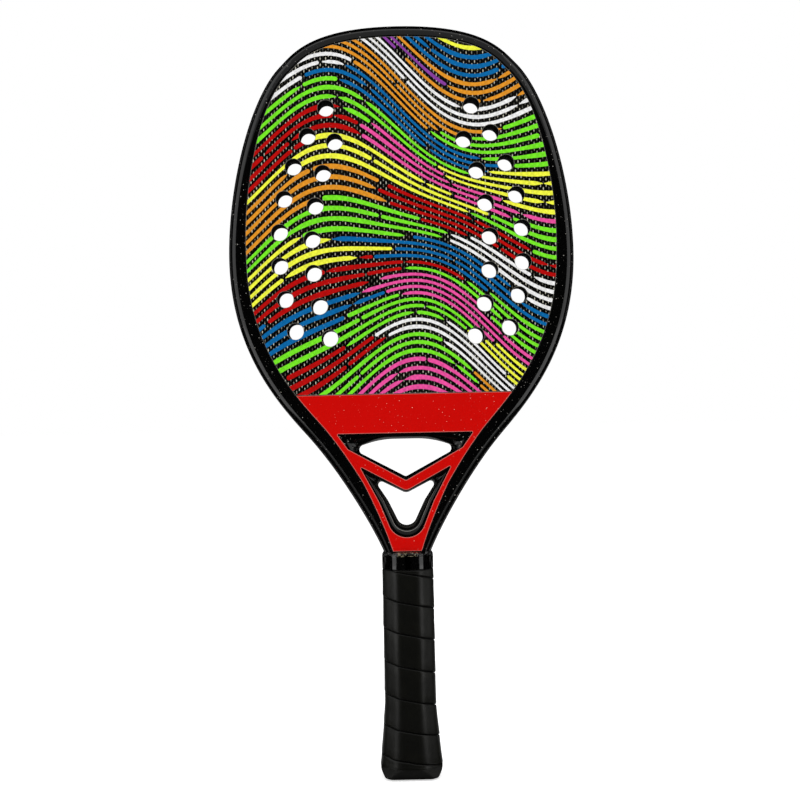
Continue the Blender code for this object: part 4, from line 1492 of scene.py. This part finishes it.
def add_cards(studio):
    """Cards that only reflections see: bright ones for the lines on gloss edges, dark ones for the rest."""
    # They stand as a box round the racket: its half width, its front and back, the height at which its
    # front turns from dark to sheen, and its full height. The floor's cards lie just above the floor.
    wide, front, back, brow, top, low = 1.7, -1.5, 1.25, 1.0, 2.6, 0.0004
    # Places along Y where the box's sides and top change, from the front to the back.
    far, line, near, rear = -1.43, -0.68, -0.12, 0.62
    levels = {"dark": 0.0, "sheen": studio.sheen, "bright": studio.strips, "glow": studio.glow}
    cards = {name: card_material("card_" + name, level) for name, level in levels.items()}
    for name, card, y, foot, head in (
        ("front_card", "dark", front, 0, brow),
        ("front_top_card", "sheen", front, brow, top),
        ("rear_card", "dark", back, 0, top),
    ):
        corners = [(-wide, y, foot), (wide, y, foot), (wide, y, head), (-wide, y, head)]
        stage_card(name, corners, cards[card])
    for name, card, start, end in (
        ("strip", "bright", far, near),
        ("card", "dark", near, rear),
        ("glow", "glow", rear, back),
    ):
        for hand, side in HANDS:
            x = side * wide
            corners = [(x, start, 0), (x, end, 0), (x, end, top), (x, start, top)]
            stage_card(f"{hand}_{name}", corners, cards[card])
    for name, card, start, end in (
        ("overhead_sheen", "sheen", front, line),
        ("overhead_strip", "bright", line, near),
        ("overhead_card", "dark", near, back),
    ):
        corners = [(-wide, start, top), (wide, start, top), (wide, end, top), (-wide, end, top)]
        stage_card(name, corners, cards[card])
    near_ring, far_ring = (FLOOR_HOLE, NEAR_FLOOR), (NEAR_FLOOR, FAR_FLOOR)
    for name, card, start, end, ring in (
        ("near_front", "dark", 0, 48, near_ring),
        ("near_side", "sheen", 48, 70, near_ring),
        ("near_rear", "dark", 70, 122, near_ring),
        ("near_back", "sheen", 122, 180, near_ring),
        ("far_front", "dark", 0, 50, far_ring),
        ("far_rear", "dark", 86, 130, far_ring),
        ("far_back", "glow", 130, 180, far_ring),
    ):
        fan = floor_fan(start, end, *ring)
        for hand, side in HANDS:
            stage_card(f"{name}_{hand}", [(side * x, y, low) for x, y in fan], cards[card])


class RACKET_OT_studio(bpy.types.Operator):
    """Sets up the camera, the soft lamps, the white floor and background, and the dark cards"""

    bl_idname = "racket.studio"
    bl_label = "Studio"

    def execute(self, context):
        studio = context.scene.racket_studio
        context.scene.view_settings.view_transform = "Standard"
        add_camera(studio)
        white_world(studio)
        far_out = 12.0
        corners = [(x * far_out, y * far_out, 0) for x, y in ((-1, -1), (1, -1), (1, 1), (-1, 1))]
        stage_sheet("floor", corners, floor_material(studio))
        add_lamps(studio)
        add_cards(studio)
        return {"FINISHED"}


class RACKET_PT_panel(bpy.types.Panel):
    """Lists the racket's pieces and settings"""

    bl_idname = "RACKET_PT_panel"
    bl_label = "Beach tennis racket"
    bl_space_type = "VIEW_3D"
    bl_region_type = "UI"
    bl_category = "Racket"

    def draw(self, context):
        for operator in OPERATORS:
            self.layout.operator(operator.bl_idname)
        for name, group in GROUPS.items():
            box = self.layout.box()
            for prop in group.__annotations__:
                box.prop(getattr(context.scene, name), prop)


OPERATORS = (
    RACKET_OT_frame_tube,
    RACKET_OT_face,
    RACKET_OT_print,
    RACKET_OT_throat,
    RACKET_OT_collar,
    RACKET_OT_grip,
    RACKET_OT_butt_cap,
    RACKET_OT_inner_parts,
    RACKET_OT_studio,
)
GROUPS = {
    "racket_shape": RacketShape,
    "racket_print": RacketPrint,
    "racket_finish": RacketFinish,
    "racket_studio": RacketStudio,
}


def register():
    for cls in (*GROUPS.values(), *OPERATORS, RACKET_PT_panel):
        bpy.utils.register_class(cls)
    for name, group in GROUPS.items():
        setattr(bpy.types.Scene, name, PointerProperty(type=group))


def unregister():
    for name in GROUPS:
        delattr(bpy.types.Scene, name)
    for cls in (RACKET_PT_panel, *reversed(OPERATORS), *reversed(GROUPS.values())):
        bpy.utils.unregister_class(cls)


def main():
    register()
    bpy.ops.racket.frame_tube()
    bpy.ops.racket.face()
    bpy.ops.racket.print()
    bpy.ops.racket.throat()
    bpy.ops.racket.collar()
    bpy.ops.racket.grip()
    bpy.ops.racket.butt_cap()
    bpy.ops.racket.inner_parts()
    bpy.ops.racket.studio()


if __name__ == "__main__":
    main()
